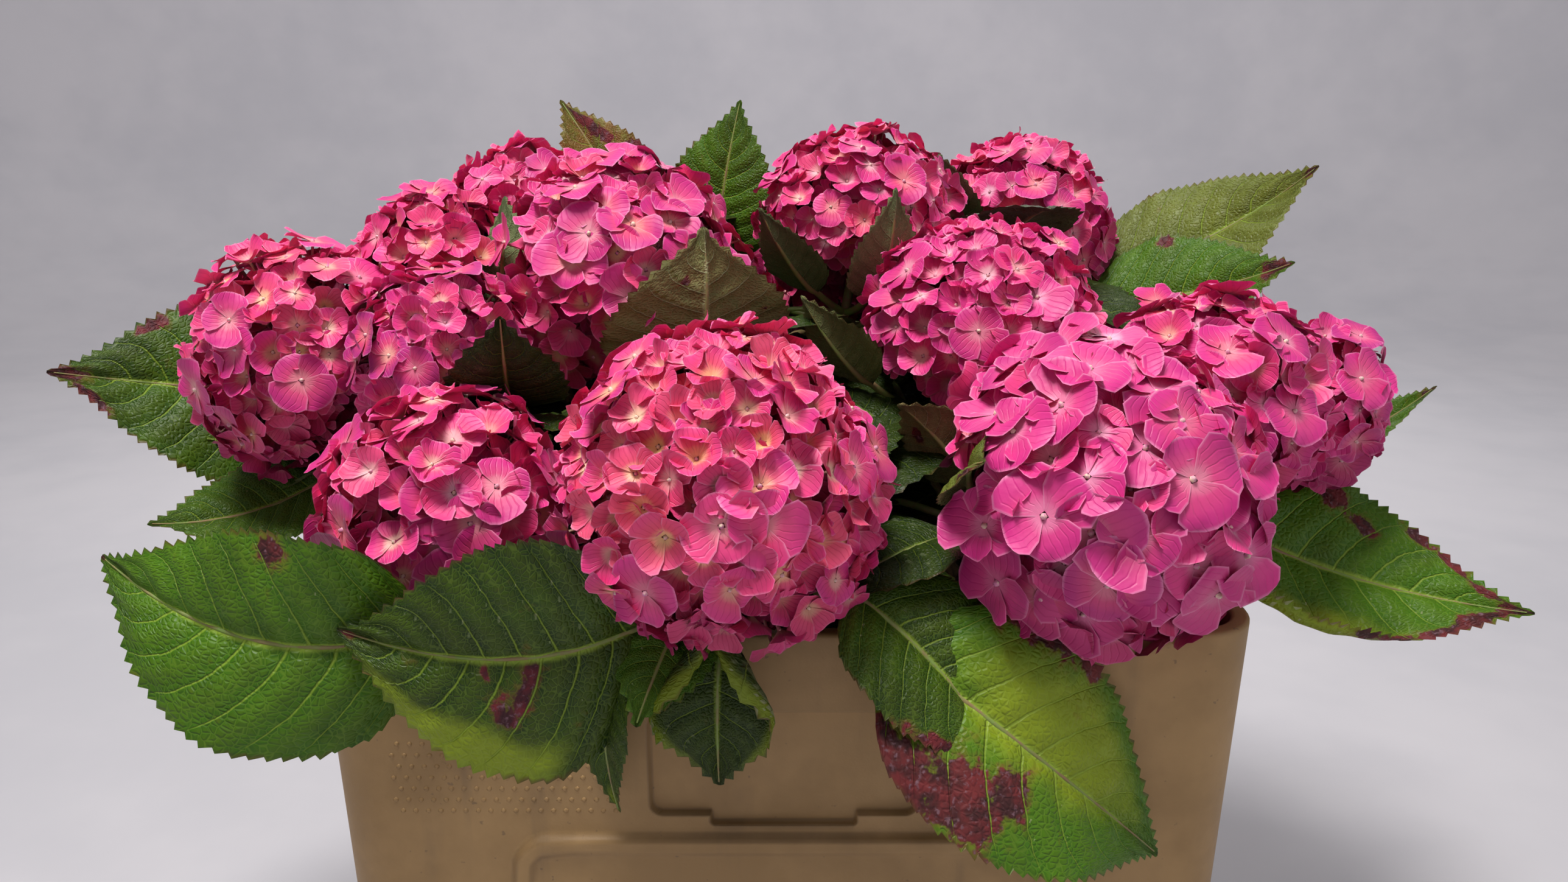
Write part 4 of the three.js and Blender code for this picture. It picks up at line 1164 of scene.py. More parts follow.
def petal_finish():
    finish, tree, shader = new_finish("petal")
    own = put(tree, "ShaderNodeUVMap", uv_map="own").outputs[0]
    place = put(tree, "ShaderNodeTexCoord").outputs["Object"]
    parts = put(tree, "ShaderNodeSeparateXYZ", {0: own}).outputs
    across = calc(tree, "ABSOLUTE", calc(tree, "MULTIPLY_ADD", parts["X"], 2.0, -1.0))
    out = parts["Y"]
    cloudy = noise(tree, place, 130.0, 3.0)
    soft = calc(tree, "SUBTRACT", cloudy, 0.5)
    hue = calc(tree, "MULTIPLY_ADD", soft, 0.2, attribute(tree, "tint"))
    ramp = put(tree, "ShaderNodeValToRGB", {0: hue})
    stops = ramp.color_ramp.elements
    stops.remove(stops[1])
    stops[0].color = PETAL_STOPS[0][1]
    for spot, colour in PETAL_STOPS[1:]:
        stops.new(spot).color = colour
    warm = attribute(tree, "warm")
    inner = blend(tree, warm, *INNER_PINKS)
    reach = calc(tree, "MULTIPLY_ADD", soft, 0.3, calc(tree, "MULTIPLY_ADD", across, 0.12, out))
    colour = tinge(tree, ramp.outputs["Color"], inner, band(tree, reach, 0.85, 0.3), 0.75)
    veins = calc(tree, "MULTIPLY", parts["X"], VEINS_ACROSS)
    veins = calc(tree, "ABSOLUTE", calc(tree, "SINE", veins))
    veins = calc(tree, "MULTIPLY", band(tree, veins, 0.5, 0.0), band(tree, out, 0.0, 0.3))
    colour = tinge(tree, colour, PETAL_VEIN, veins, 0.05)
    rim = calc(tree, "MAXIMUM", band(tree, out, 0.9, 1.0), band(tree, across, 0.88, 1.0))
    colour = tinge(tree, colour, PETAL_RIM, rim, 0.42)
    cream = blend(tree, warm, *THROATS)
    throat = calc(tree, "MULTIPLY", band(tree, reach, 0.4, 0.1), attribute(tree, "throat"))
    colour = blend(tree, throat, colour, cream)
    # Painted shade: florets deep in the head and on its underside turn a darker crimson
    colour = blend(tree, attribute(tree, "deep"), colour, CRIMSON_SHADE)
    height = calc(tree, "MULTIPLY_ADD", veins, -0.3, cloudy)
    wire(tree, shader, colour, calc(tree, "MULTIPLY_ADD", cloudy, 0.2, 0.42), height, 0.0004)
    shader.inputs["Sheen Weight"].default_value = 0.06
    return finish


def bead_finish():
    finish, tree, shader = new_finish("floret_bead")
    place = put(tree, "ShaderNodeTexCoord").outputs["Object"]
    colour, height = mottled(tree, place, 300.0, paint(214, 120, 170), paint(240, 220, 190))
    wire(tree, shader, colour, 0.45, height, 0.0002)
    return finish


PETAL = petal_finish()
BEAD = bead_finish()
print("floret finishes:", PETAL.name, BEAD.name)

# %% [markdown]
# ## Flower heads by Geometry Nodes
# A head is one floret after another on a ball, so Geometry Nodes place them: each
# point of a bare mesh says which kind stands there, how it is turned and how large
# it is, and the tree copies the floret onto it. Realize Instances turns the copies
# into real faces, because an export drops instances. The tree also moves each copy's
# bake map into a cell of its own.

# %% Tree: flower head
def new_growth(name, inputs):
    """An empty Geometry Nodes tree with a geometry in and out, and named inputs."""
    tree = bpy.data.node_groups.new(name, "GeometryNodeTree")
    tree.interface.new_socket("Geometry", in_out="INPUT", socket_type="NodeSocketGeometry")
    for label, kind in inputs:
        tree.interface.new_socket(label, in_out="INPUT", socket_type=kind)
    tree.interface.new_socket("Geometry", in_out="OUTPUT", socket_type="NodeSocketGeometry")
    return tree, put(tree, "NodeGroupInput").outputs, put(tree, "NodeGroupOutput").inputs


def named(tree, name, kind):
    node = put(tree, "GeometryNodeInputNamedAttribute", {"Name": name}, data_type=kind)
    return node.outputs["Attribute"]


def set_finish(tree, geometry, finish, **chosen):
    inputs = {"Geometry": geometry, "Material": finish} | chosen
    return put(tree, "GeometryNodeSetMaterial", inputs).outputs[0]


def mophead_tree():
    tree, start, end = new_growth("mophead", [
        ("Kinds", "NodeSocketCollection"),
        ("Cells Across", "NodeSocketFloat"),
        ("Petal", "NodeSocketMaterial"),
        ("Bead", "NodeSocketMaterial"),
    ])
    kinds = put(tree, "GeometryNodeCollectionInfo", {
        "Collection": start["Kinds"], "Separate Children": True, "Reset Children": True})
    turn = put(tree, "FunctionNodeEulerToRotation", {0: named(tree, "turn", "FLOAT_VECTOR")})
    copies = put(tree, "GeometryNodeInstanceOnPoints", {
        "Points": start["Geometry"], "Instance": kinds.outputs[0], "Pick Instance": True,
        "Instance Index": named(tree, "kind", "INT"), "Rotation": turn.outputs[0],
        "Scale": named(tree, "size", "FLOAT")})
    real = put(tree, "GeometryNodeRealizeInstances", {"Geometry": copies.outputs[0]})
    moved = put(tree, "ShaderNodeVectorMath", {
        0: named(tree, "OFBake", "FLOAT_VECTOR"), 1: named(tree, "cell", "FLOAT_VECTOR")},
        operation="ADD")
    share = calc(tree, "DIVIDE", 1.0, start["Cells Across"])
    moved = put(tree, "ShaderNodeVectorMath", {0: moved.outputs[0], "Scale": share},
                operation="SCALE")
    stored = put(tree, "GeometryNodeStoreNamedAttribute", {
        "Geometry": real.outputs[0], "Name": "OFBake", "Value": moved.outputs[0]},
        data_type="FLOAT2", domain="CORNER")
    petals = set_finish(tree, stored.outputs[0], start["Petal"])
    beads = set_finish(tree, petals, start["Bead"], Selection=named(tree, "bead", "BOOLEAN"))
    tree.links.new(beads, end["Geometry"])
    return tree


def grow(piece, tree, **values):
    """Run a tree on a piece and keep the result as its plain mesh."""
    modifier = piece.modifiers.new(tree.name, "NODES")
    modifier.node_group = tree
    for item in tree.interface.items_tree:
        label = item.name.replace(" ", "_").lower()
        if item.in_out == "INPUT" and label in values:
            modifier[item.identifier] = values[label]
    graph = bpy.context.evaluated_depsgraph_get()
    mesh = bpy.data.meshes.new_from_object(
        piece.evaluated_get(graph), preserve_all_data_layers=True, depsgraph=graph)
    piece.modifiers.clear()
    piece.data = mesh
    mesh.name = piece.name


MOPHEAD = mophead_tree()
print("tree:", MOPHEAD.name)

# %% Looks of each head
# The mean hue and its spread from 0 to 1, the shares of cupped and of large florets,
# millimetres between florets, the strength of the throat and how warm it is
LOOK_NAMES = ("tint", "vary", "cups", "large", "spacing", "throat", "warm")
BLOOM_LOOKS = {
    "front": (0.26, 0.16, 0.70, 0.12, 15.5, 0.95, 0.80),
    "front_left": (0.34, 0.12, 0.45, 0.20, 17.5, 0.85, 0.45),
    "front_right": (0.44, 0.12, 0.20, 0.42, 20.0, 0.60, 0.20),
    "left": (0.30, 0.13, 0.60, 0.12, 15.5, 0.90, 0.75),
    "left_inner": (0.44, 0.14, 0.60, 0.15, 14.5, 0.80, 0.45),
    "left_upper": (0.34, 0.13, 0.55, 0.12, 16.0, 0.85, 0.60),
    "back_left": (0.36, 0.12, 0.45, 0.15, 16.5, 0.70, 0.45),
    "top_left": (0.38, 0.13, 0.45, 0.25, 17.5, 0.90, 0.60),
    "top": (0.36, 0.12, 0.55, 0.15, 15.5, 0.75, 0.45),
    "top_right": (0.32, 0.12, 0.60, 0.12, 15.0, 0.70, 0.35),
    "inner_right": (0.48, 0.13, 0.50, 0.20, 16.0, 0.75, 0.30),
    "right": (0.40, 0.13, 0.40, 0.25, 17.0, 0.70, 0.45),
    "right_end": (0.50, 0.13, 0.35, 0.25, 16.0, 0.50, 0.20),
}
USUAL_LOOKS = (0.40, 0.14, 0.50, 0.18, 17.0, 0.70, 0.40)
print("heads with looks of their own:", len(BLOOM_LOOKS))

# %% The room that a head has
HEAD_SPREAD = 132.0
NEIGHBOUR_REACH = 44
OVERLAP = 3.0


def spread_directions(axis, spacing, radius):
    """Evenly spread directions over the part of a ball round an axis."""
    low = math.cos(math.radians(HEAD_SPREAD))
    count = round(2 * math.pi * radius ** 2 * (1 - low) / (math.sqrt(0.75) * spacing ** 2))
    k = np.arange(count)
    height = 1 - (1 - low) * (k + 0.5) / count
    flat = np.sqrt(1 - height ** 2)
    golden = math.pi * (3 - math.sqrt(5))
    directions = np.stack((flat * np.cos(k * golden), flat * np.sin(k * golden), height), -1)
    turn = Vector((0, 0, 1)).rotation_difference(Vector(axis))
    return np.array([turn @ Vector(direction) for direction in directions])


def head_room(name):
    """How far the head may reach each way: planes towards its neighbours and the rim."""
    shoot, line = SHOOTS[name], LINES[name]
    radius = shoot["radius"]
    planes = [(-line["axis"], UNDERSIDE * radius), (-UP, shoot["head"][2] - GAP)]
    for other, rival in SHOOTS.items():
        towards = LINES[other]["head"] - line["head"]
        apart = np.linalg.norm(towards)
        if other != name and apart < radius + rival["radius"] + NEIGHBOUR_REACH:
            reach = (apart ** 2 + radius ** 2 - rival["radius"] ** 2) / (2 * apart)
            planes.append((towards / apart, reach + OVERLAP))
    return planes


def reach_along(direction, radius, tall, planes):
    """How far out the head goes in a direction before a plane cuts it off; tall is how
    much taller than wide it is."""
    out = radius * (1 + (tall - 1) * direction[2] ** 2)
    for normal, reach in planes:
        lean = direction @ normal
        if lean > 0:
            out = min(out, reach / lean)
    return out


print("planes round the front head:", len(head_room("front")))

# %% Where the florets stand
# Each layer: its share of the radius, and how much wider its florets are spaced. The
# kinds are numbers in FLORET_KINDS, sizes are shares of the spacing, and proud is how
# many millimetres a floret stands out of its layer.
LAYERS = ((1.0, 1.0), (0.82, 1.1))
CUPPED, OPEN = (0, 3), (2, 6)
USUAL_FLORET = {"size": (0.62, 0.8), "proud": (-8.0, 0.5), "tilt": 0.24, "hue": 0.0,
                "throat": 1.0}
LARGE_FLORET = {"kinds": (3, 5), "size": (0.82, 1.0), "proud": (-2.0, 1.5), "tilt": 0.18,
                "hue": 0.34, "throat": 0.6}
LEAST_ROOM = 0.5
LEAF_ROOM = 0.45
HEAD_LUMPS = 0.08
# Painted shade in darker crimson: how much on the underside and in the inner layer, which is
# lighter near the top
UNDERSIDE_SHADE = 0.72
INNER_SHADE, INNER_LIT = 0.4, 0.2


def floret_rows(name):
    """The florets of a head, the outer ones and then the ones that show between them."""
    shoot, line = SHOOTS[name], LINES[name]
    looks = dict(zip(LOOK_NAMES, BLOOM_LOOKS.get(name, USUAL_LOOKS)))
    chance = np.random.default_rng(7 + sum(map(ord, name)))
    planes = head_room(name)
    radius = shoot["radius"]
    rows = []
    for share, wider in LAYERS:
        spacing = looks["spacing"] * wider
        for direction in spread_directions(line["axis"], spacing, radius * share):
            cloud = solid_noise.noise(Vector(direction) * 2.2 + Vector(shoot["head"]))
            lump = 1 + HEAD_LUMPS * cloud
            out = reach_along(direction, radius * lump, shoot["tall"], planes)
            if out < LEAST_ROOM * radius:
                continue
            draw = chance.random()
            form = USUAL_FLORET
            kind = int(chance.integers(*(CUPPED if draw < looks["cups"] else OPEN)))
            size = spacing * chance.uniform(*form["size"])
            proud = chance.uniform(*form["proud"])
            if draw > 1 - looks["large"]:
                form = LARGE_FLORET
                kind = int(chance.integers(*form["kinds"]))
                size = spacing * chance.uniform(*form["size"])
                proud = chance.uniform(*form["proud"])
            rise = 0.8 * FLORET_KINDS[kind]["depth"] * size
            facing = unit(direction + chance.normal(0, form["tilt"], 3) + UP * 0.1)
            base = line["head"] + direction * (out * share + proud - max(rise, 1.0))
            middle = Vector(base + facing * rise * 0.6)
            if near_leaf.find(middle)[2] < LEAF_ROOM * size:
                continue
            turn = Vector(facing).to_track_quat("Z", "Y")
            turn = turn @ Quaternion((0, 0, 1), chance.uniform(0, math.tau))
            # Painted shade: lower florets get a darker hue, and they and the inner layer a darker
            # crimson
            above = float(np.clip(direction[2], 0, 1))
            below = float(np.clip(-direction[2], 0, 1))
            hue = looks["tint"] + chance.normal(0, looks["vary"]) + 0.06 * below
            throat = looks["throat"] * chance.uniform(0.4, 1.0) * form["throat"]
            warm = np.clip(looks["warm"] + chance.uniform(-0.4, 0.3), 0, 1)
            deep = INNER_SHADE - INNER_LIT * above if share < 1 else chance.uniform(0, 0.08)
            rows.append({
                "base": base, "kind": kind, "turn": tuple(turn.to_euler()), "size": size * MM,
                "tint": hue + form["hue"], "throat": throat, "warm": warm,
                "deep": UNDERSIDE_SHADE * below + deep,
            })
    return rows


def grow_head(name):
    """A head grown by the tree from a bare mesh, one point with its values to a floret."""
    rows = floret_rows(name)
    cells_across = math.ceil(math.sqrt(len(rows)))
    mesh = bpy.data.meshes.new(f"mophead_{name}")
    mesh.from_pydata([tuple(row["base"] * MM) for row in rows], [], [])
    mesh.attributes.new("kind", "INT", "POINT").data.foreach_set(
        "value", np.array([row["kind"] for row in rows], np.int32))
    for label in ("size", "tint", "throat", "warm", "deep"):
        mesh.attributes.new(label, "FLOAT", "POINT").data.foreach_set(
            "value", np.array([row[label] for row in rows], np.float32))
    cells = [(k % cells_across, k // cells_across, 0) for k in range(len(rows))]
    for label, values in (("turn", [row["turn"] for row in rows]), ("cell", cells)):
        mesh.attributes.new(label, "FLOAT_VECTOR", "POINT").data.foreach_set(
            "vector", np.array(values, np.float32).ravel())
    piece = bpy.data.objects.new(f"mophead_{name}", mesh)
    bpy.context.scene.collection.objects.link(piece)
    grow(piece, MOPHEAD, kinds=florets, cells_across=float(cells_across),
         petal=PETAL, bead=BEAD)
    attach(piece, "root")
    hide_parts(f"bloom_{name}")
    return rows


floret_table = {name: grow_head(name) for name in SHOOTS}
print("florets:", sum(map(len, floret_table.values())))

# %% [markdown]
# ## Canes, stems and stalks by Geometry Nodes
# Under the blooms run woody canes, green stems with a swelling at each pair of
# leaves, and hundreds of thin stalks that carry the florets. All are tubes along a
# path, so one tree sweeps a circle along each line, takes its thickness from a value on
# the path's points, and roughens it with a grain that runs along the limb.

# %% Tree: limbs
GRAIN_STRETCH = (1.0, 1.0, 0.22)
GRAIN_SCALE = 420.0


def limb_tree():
    tree, start, end = new_growth("limbs", [
        ("Sides", "NodeSocketInt"),
        ("Relief", "NodeSocketFloat"),
        ("Finish", "NodeSocketMaterial"),
    ])
    path = put(tree, "GeometryNodeMeshToCurve", {"Mesh": start["Geometry"]})
    circle = put(tree, "GeometryNodeCurvePrimitiveCircle",
                 {"Resolution": start["Sides"], "Radius": 1.0})
    tube = put(tree, "GeometryNodeCurveToMesh", {
        "Curve": path.outputs[0], "Profile Curve": circle.outputs["Curve"],
        "Scale": named(tree, "radius", "FLOAT"), "Fill Caps": True})
    place = put(tree, "GeometryNodeInputPosition")
    grain = put(tree, "ShaderNodeVectorMath", {0: place.outputs[0], 1: GRAIN_STRETCH},
                operation="MULTIPLY")
    lump = calc(tree, "SUBTRACT", noise(tree, grain.outputs[0], GRAIN_SCALE, 3.0), 0.5)
    lump = calc(tree, "MULTIPLY", lump, start["Relief"])
    normal = put(tree, "GeometryNodeInputNormal")
    push = put(tree, "ShaderNodeVectorMath", {0: normal.outputs[0], "Scale": lump},
               operation="SCALE")
    rough = put(tree, "GeometryNodeSetPosition",
                {"Geometry": tube.outputs[0], "Offset": push.outputs[0]})
    round_off = put(tree, "GeometryNodeSetShadeSmooth", {"Geometry": rough.outputs[0]})
    real = put(tree, "GeometryNodeRealizeInstances", {"Geometry": round_off.outputs[0]})
    tree.links.new(set_finish(tree, real.outputs[0], start["Finish"]), end["Geometry"])
    return tree


LIMBS = limb_tree()


def grow_limbs(name, paths, sides, relief, finish):
    """Tubes along paths, each a list of points with a radius, all in millimetres."""
    points, edges, radii = [], [], []
    for path in paths:
        edges += [(len(points) + k, len(points) + k + 1) for k in range(len(path) - 1)]
        points += [tuple(place * MM) for place, radius in path]
        radii += [radius * MM for place, radius in path]
    mesh = bpy.data.meshes.new(name)
    mesh.from_pydata(points, edges, [])
    mesh.attributes.new("radius", "FLOAT", "POINT").data.foreach_set(
        "value", np.array(radii, np.float32))
    piece = bpy.data.objects.new(name, mesh)
    bpy.context.scene.collection.objects.link(piece)
    grow(piece, LIMBS, sides=sides, relief=relief * MM, finish=finish)
    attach(piece, "root")
    print(name, "faces:", len(piece.data.polygons))
    return piece


print("tree:", LIMBS.name)

# %% Grow the canes, the stems and the floret stalks
def wood_finish(name, first, second, scale, depth, roughness):
    finish, tree, shader = new_finish(name)
    place = put(tree, "ShaderNodeTexCoord").outputs["Object"]
    stretched = put(tree, "ShaderNodeMapping", {"Vector": place, "Scale": (1.0, 1.0, 0.3)})
    colour, height = mottled(tree, stretched.outputs[0], scale, first, second)
    wire(tree, shader, colour, roughness, height, depth)
    return finish


BARK = wood_finish("bark", paint(124, 98, 66), paint(78, 60, 42), 160.0, 0.0006, 0.85)
GREEN_STEM = wood_finish("green_stem", paint(104, 132, 60), paint(128, 92, 70), 90.0, 0.0003, 0.6)
FLORET_STALK = wood_finish(
    "floret_stalk", paint(168, 138, 112), paint(188, 92, 116), 120.0, 0.0002, 0.6)
CANE_BOW = 0.05
CANE_JOINT = 30
SWELLING = 2.5


def cane_path(line):
    """The cane's bow from the stool to the foot of its stem, with swollen joints."""
    tip = down_the_shoot(line, line["cane_tip"])
    span = np.linalg.norm(tip - line["foot"])
    pull = tip - line["axis"] * span / 2 + UP * CANE_BOW * span
    path = []
    for share in np.linspace(0.0, 1.0, 40):
        place = ((1 - share) ** 2 * line["foot"] + 2 * share * (1 - share) * pull
                 + share ** 2 * tip)
        joint = abs((share * span / CANE_JOINT + 0.5) % 1 - 0.5) * CANE_JOINT
        radius = 4.5 - 0.9 * share + 0.7 * math.exp(-(joint / SWELLING) ** 2)
        path.append((place, radius + 1.2 * math.exp(-share * 14)))
    return path


def stem_path(shoot, line):
    """The green stem and the flower's stalk in one line, swollen where leaves stand."""
    pairs = {leaf.pair for leaf in shoot["leaves"]}
    path = []
    for distance in np.linspace(line["stem_foot"], shoot["radius"] * 0.2, 36):
        radius = float(np.interp(distance, (line["stalk_end"], line["stem_foot"]), (2.7, 3.3)))
        for pair in pairs:
            away = distance - line["stem_top"] - FIRST_NODE - NODE_SPACING * pair
            radius += 0.5 * math.exp(-(away / SWELLING) ** 2)
        path.append((down_the_shoot(line, distance), radius))
    return path


def floret_stalks(name):
    """Thin stalks from the head's middle to the back of each floret."""
    head = LINES[name]["head"]
    paths = []
    for row in floret_table[name]:
        end = row["base"]
        start = head + (end - head) * 0.55
        paths.append([(start, 1.0), ((start + end) / 2, 0.7), (end, 0.9)])
    return paths


canes = grow_limbs("canes", [cane_path(line) for line in LINES.values()], 14, 0.9, BARK)
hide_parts(*[f"cane_{name}" for name in SHOOTS])
stems = grow_limbs(
    "stems", [stem_path(shoot, LINES[name]) for name, shoot in SHOOTS.items()],
    12, 0.25, GREEN_STEM)
stalks = grow_limbs(
    "floret_stalks", [path for name in SHOOTS for path in floret_stalks(name)],
    3, 0.0, FLORET_STALK)

# %% [markdown]
# ## The dark inside of a head
# Looking between the florets of a mophead one sees shade, not daylight: dozens of
# branching stalks fill its middle. A lumpy core, coloured dark crimson as painted shade,
# stands for that shaded thicket. It is drawn in to the same planes as the florets, so it
# never shows through them.

# %% Make the cores
core_points, core_faces = [], []
ball = bmesh.new()
bmesh.ops.create_icosphere(ball, subdivisions=4, radius=1.0)
for name, shoot in SHOOTS.items():
    planes = head_room(name)
    first = len(core_points)
    for corner in ball.verts:
        direction = np.array(corner.co)
        lump = 0.7 + 0.06 * solid_noise.noise(Vector(direction) * 6 + Vector(shoot["head"]))
        out = reach_along(direction, shoot["radius"], shoot["tall"], planes) * lump
        core_points.append((LINES[name]["head"] + direction * out) * MM)
    core_faces += [[first + corner.index for corner in face.verts] for face in ball.faces]
ball.free()
cores = mesh_object("flower_hearts", core_points, core_faces)
# The core's dark crimson is painted shade
HEART_SHADE = wood_finish("flower_heart", paint(138, 22, 66), paint(88, 14, 42), 140.0, 0.0015, 0.8)
cores.data.materials.append(HEART_SHADE)
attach(cores, "root")
print("core faces:", len(core_faces))

# %% [markdown]
# ## The woody stool
# All the canes spring from one low knotted base at the top of the compost. It is a
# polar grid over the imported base's outline, pushed up and down by noise into knots,
# and it is closed underneath.

# %% Make the stool
STOOL_HALF_LENGTH = 92.0
STOOL_HALF_WIDTH = 47.0
STOOL_HEIGHT = 12.0
STOOL_SIDES = 96
STOOL_RINGS = ((1.0, 0.0), (1.0, 0.25), (0.97, 0.55), (0.92, 0.8), (0.86, 0.97), (0.74, 1.0),
               (0.6, 1.0), (0.45, 1.0), (0.3, 1.0), (0.15, 1.0))
KNOT_RISE, KNOT_REACH = 2.4, 1.5


def stool():
    """The stool from rings of points that go up its side and in over its top."""
    foot = STOOL_TOP - STOOL_HEIGHT
    points = []
    for share, rise in STOOL_RINGS:
        for k in range(STOOL_SIDES):
            turn = math.tau * k / STOOL_SIDES
            out = share * (1 + 0.05 * math.sin(3 * turn) + 0.035 * math.sin(7 * turn))
            point = Vector((STOOL_HALF_LENGTH * out * math.cos(turn),
                            STOOL_HALF_WIDTH * out * math.sin(turn), foot + STOOL_HEIGHT * rise))
            knots = solid_noise.fractal(point * 0.09, 0.8, 2.2, 5)
            point.z += KNOT_RISE * knots * min(1, 2 * rise)
            point.x += KNOT_REACH * knots * math.cos(turn) * share
            point.y += KNOT_REACH * knots * math.sin(turn) * share
            points.append(point * MM)
    index = np.arange(len(points)).reshape(-1, STOOL_SIDES)
    index = np.concatenate((index, index[:, :1]), axis=1)
    faces = ring_quads(index).tolist()
    faces.append(tuple(range(STOOL_SIDES))[::-1])
    middle = len(points)
    points.append(Vector((0, 0, STOOL_TOP)) * MM)
    faces += [(a, b, middle) for a, b in zip(index[-1].tolist(), index[-1, 1:].tolist())]
    piece = mesh_object("woody_stool", points, faces)
    piece.data.materials.append(BARK)
    return piece


base = stool()
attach(base, "root")
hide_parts("stool")
print("stool faces:", len(base.data.polygons))

# %% [markdown]
# ## Compost
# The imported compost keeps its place, and a crumbly top lies over it. The surface is a
# grid raised by noise, and Geometry Nodes scatter crumbs of peat on it: points at
# random with a fixed seed, a small rough ball on each, turned and sized at random.

# %% Tree: crumbs
ANY_TURN = (6.28, 6.28, 6.28)
SMALLEST_SHARES, LARGEST_SHARES = (0.3, 0.25, 0.2), (1.0, 0.7, 0.6)


def crumb_tree():
    tree, start, end = new_growth("crumbs", [
        ("Density", "NodeSocketFloat"),
        ("Largest", "NodeSocketFloat"),
        ("Seed", "NodeSocketInt"),
        ("Finish", "NodeSocketMaterial"),
    ])
    points = put(tree, "GeometryNodeDistributePointsOnFaces", {
        "Mesh": start["Geometry"], "Density": start["Density"], "Seed": start["Seed"]})
    ball = put(tree, "GeometryNodeMeshIcoSphere", {"Radius": 1.0, "Subdivisions": 1})
    turn = put(tree, "FunctionNodeRandomValue", {1: ANY_TURN, "Seed": start["Seed"]},
               data_type="FLOAT_VECTOR")
    sizes = put(tree, "FunctionNodeRandomValue",
                {0: SMALLEST_SHARES, 1: LARGEST_SHARES, "Seed": start["Seed"]},
                data_type="FLOAT_VECTOR")
    size = put(tree, "ShaderNodeVectorMath", {0: sizes.outputs[0], "Scale": start["Largest"]},
               operation="SCALE")
    turned_by = put(tree, "FunctionNodeEulerToRotation", {0: turn.outputs[0]})
    copies = put(tree, "GeometryNodeInstanceOnPoints", {
        "Points": points.outputs["Points"], "Instance": ball.outputs["Mesh"],
        "Rotation": turned_by.outputs[0], "Scale": size.outputs[0]})
    real = put(tree, "GeometryNodeRealizeInstances", {"Geometry": copies.outputs[0]})
    both = put(tree, "GeometryNodeJoinGeometry")
    tree.links.new(start["Geometry"], both.inputs[0])
    tree.links.new(real.outputs[0], both.inputs[0])
    tree.links.new(set_finish(tree, both.outputs[0], start["Finish"]), end["Geometry"])
    return tree


CRUMBS = crumb_tree()
print("tree:", CRUMBS.name)

# %% Lay the compost
COMPOST_TOP = 295.0
COMPOST_HALF_LENGTH, COMPOST_HALF_WIDTH = 189, 139
WALL_DIP, WALL_SLOPE = 5.0, 15
CRUMBS_PER_SQUARE_METRE = 11000.0
LARGEST_CRUMB = 0.0032


def compost_finish():
    finish, tree, shader = new_finish("peat")
    place = put(tree, "ShaderNodeTexCoord").outputs["Object"]
    colour, height = mottled(tree, place, 90.0, paint(58, 42, 31), paint(92, 70, 50))
    wire(tree, shader, colour, 0.95, height, 0.002)
    return finish


def compost_sheet():
    """A lumpy sheet over the compost, which dips a little towards the walls."""
    across = np.linspace(-COMPOST_HALF_LENGTH, COMPOST_HALF_LENGTH, 127)
    deep = np.linspace(-COMPOST_HALF_WIDTH, COMPOST_HALF_WIDTH, 94)
    points = []
    for y in deep:
        for x in across:
            near_wall = min(COMPOST_HALF_LENGTH - abs(x), COMPOST_HALF_WIDTH - abs(y))
            height = COMPOST_TOP - WALL_DIP * max(0.0, 1 - near_wall / WALL_SLOPE)
            lump = solid_noise.fractal(Vector((x, y, 3.0)) * 0.07, 0.9, 2.1, 5)
            points.append(Vector((x, y, height + 0.9 + 1.6 * lump)) * MM)
    index = np.arange(len(points)).reshape(len(deep), len(across))
    faces = ring_quads(index).tolist()
    return mesh_object("compost_surface", points, faces)


PEAT = compost_finish()
top = compost_sheet()
grow(top, CRUMBS, density=CRUMBS_PER_SQUARE_METRE, largest=LARGEST_CRUMB, seed=5,
     finish=PEAT)
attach(top, "root")
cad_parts["compost"].data.materials.clear()
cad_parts["compost"].data.materials.append(PEAT)
print("compost faces:", len(top.data.polygons))

# %% [markdown]
# ## Container
# The container is a moulded plastic box with a slight taper, round corners, a rolled
# rim, a label recess and a big raised panel. Boolean cuts would leave sharp, ragged
# edges. Instead the wall is one grid of points whose lines crowd together where a
# shape begins or ends, and one height rule pushes the front and the back out and in.
# Because that rule is a smooth step of the distance to a rounded rectangle, every edge
# gets a soft moulded radius.

# %% Height of the moulded shapes
RIM_LENGTH, RIM_DEPTH, CORNER_RADIUS, DRAFT = 402.0, 302.0, 28.0, 0.026
CORNER_STEPS = 10
PANEL = {"half": 120.0, "bottom": -296.0, "top": -94.0, "corner": 20.0}
LABEL = {"half": 58.0, "bottom": -86.0, "top": -36.0, "corner": 6.0}
TAB = {"half": 32.0, "bottom": -91.0, "top": -80.0, "corner": 2.5}
PANEL_HEIGHT, PANEL_EDGE = 3.8, 3.2
PANEL_BORDER, BORDER_SINK, BORDER_EDGE = 8.0, 1.6, 3.0
LABEL_DEPTH, LABEL_EDGE = 3.6, 0.9
FULL_CREASE = 1.6


def inside(x, z, box):
    """How deep a point lies inside a rounded rectangle; negative is outside."""
    middle = (box["bottom"] + box["top"]) / 2
    tall = (box["top"] - box["bottom"]) / 2
    a = abs(x) - box["half"] + box["corner"]
    b = abs(z - middle) - tall + box["corner"]
    return box["corner"] - math.hypot(max(a, 0), max(b, 0)) - min(max(a, b), 0)


def soft_step(depth, width):
    share = min(max(depth / width, 0.0), 1.0)
    return share * share * (3 - 2 * share)


def moulding(x, z):
    """How far the wall stands out, in millimetres, at x and z below the rim."""
    panel = inside(x, z, PANEL)
    out = PANEL_HEIGHT * soft_step(panel, PANEL_EDGE)
    out -= BORDER_SINK * soft_step(panel - PANEL_BORDER, BORDER_EDGE)
    label = max(inside(x, z, LABEL), inside(x, z, TAB))
    return out - LABEL_DEPTH * soft_step(label, LABEL_EDGE)


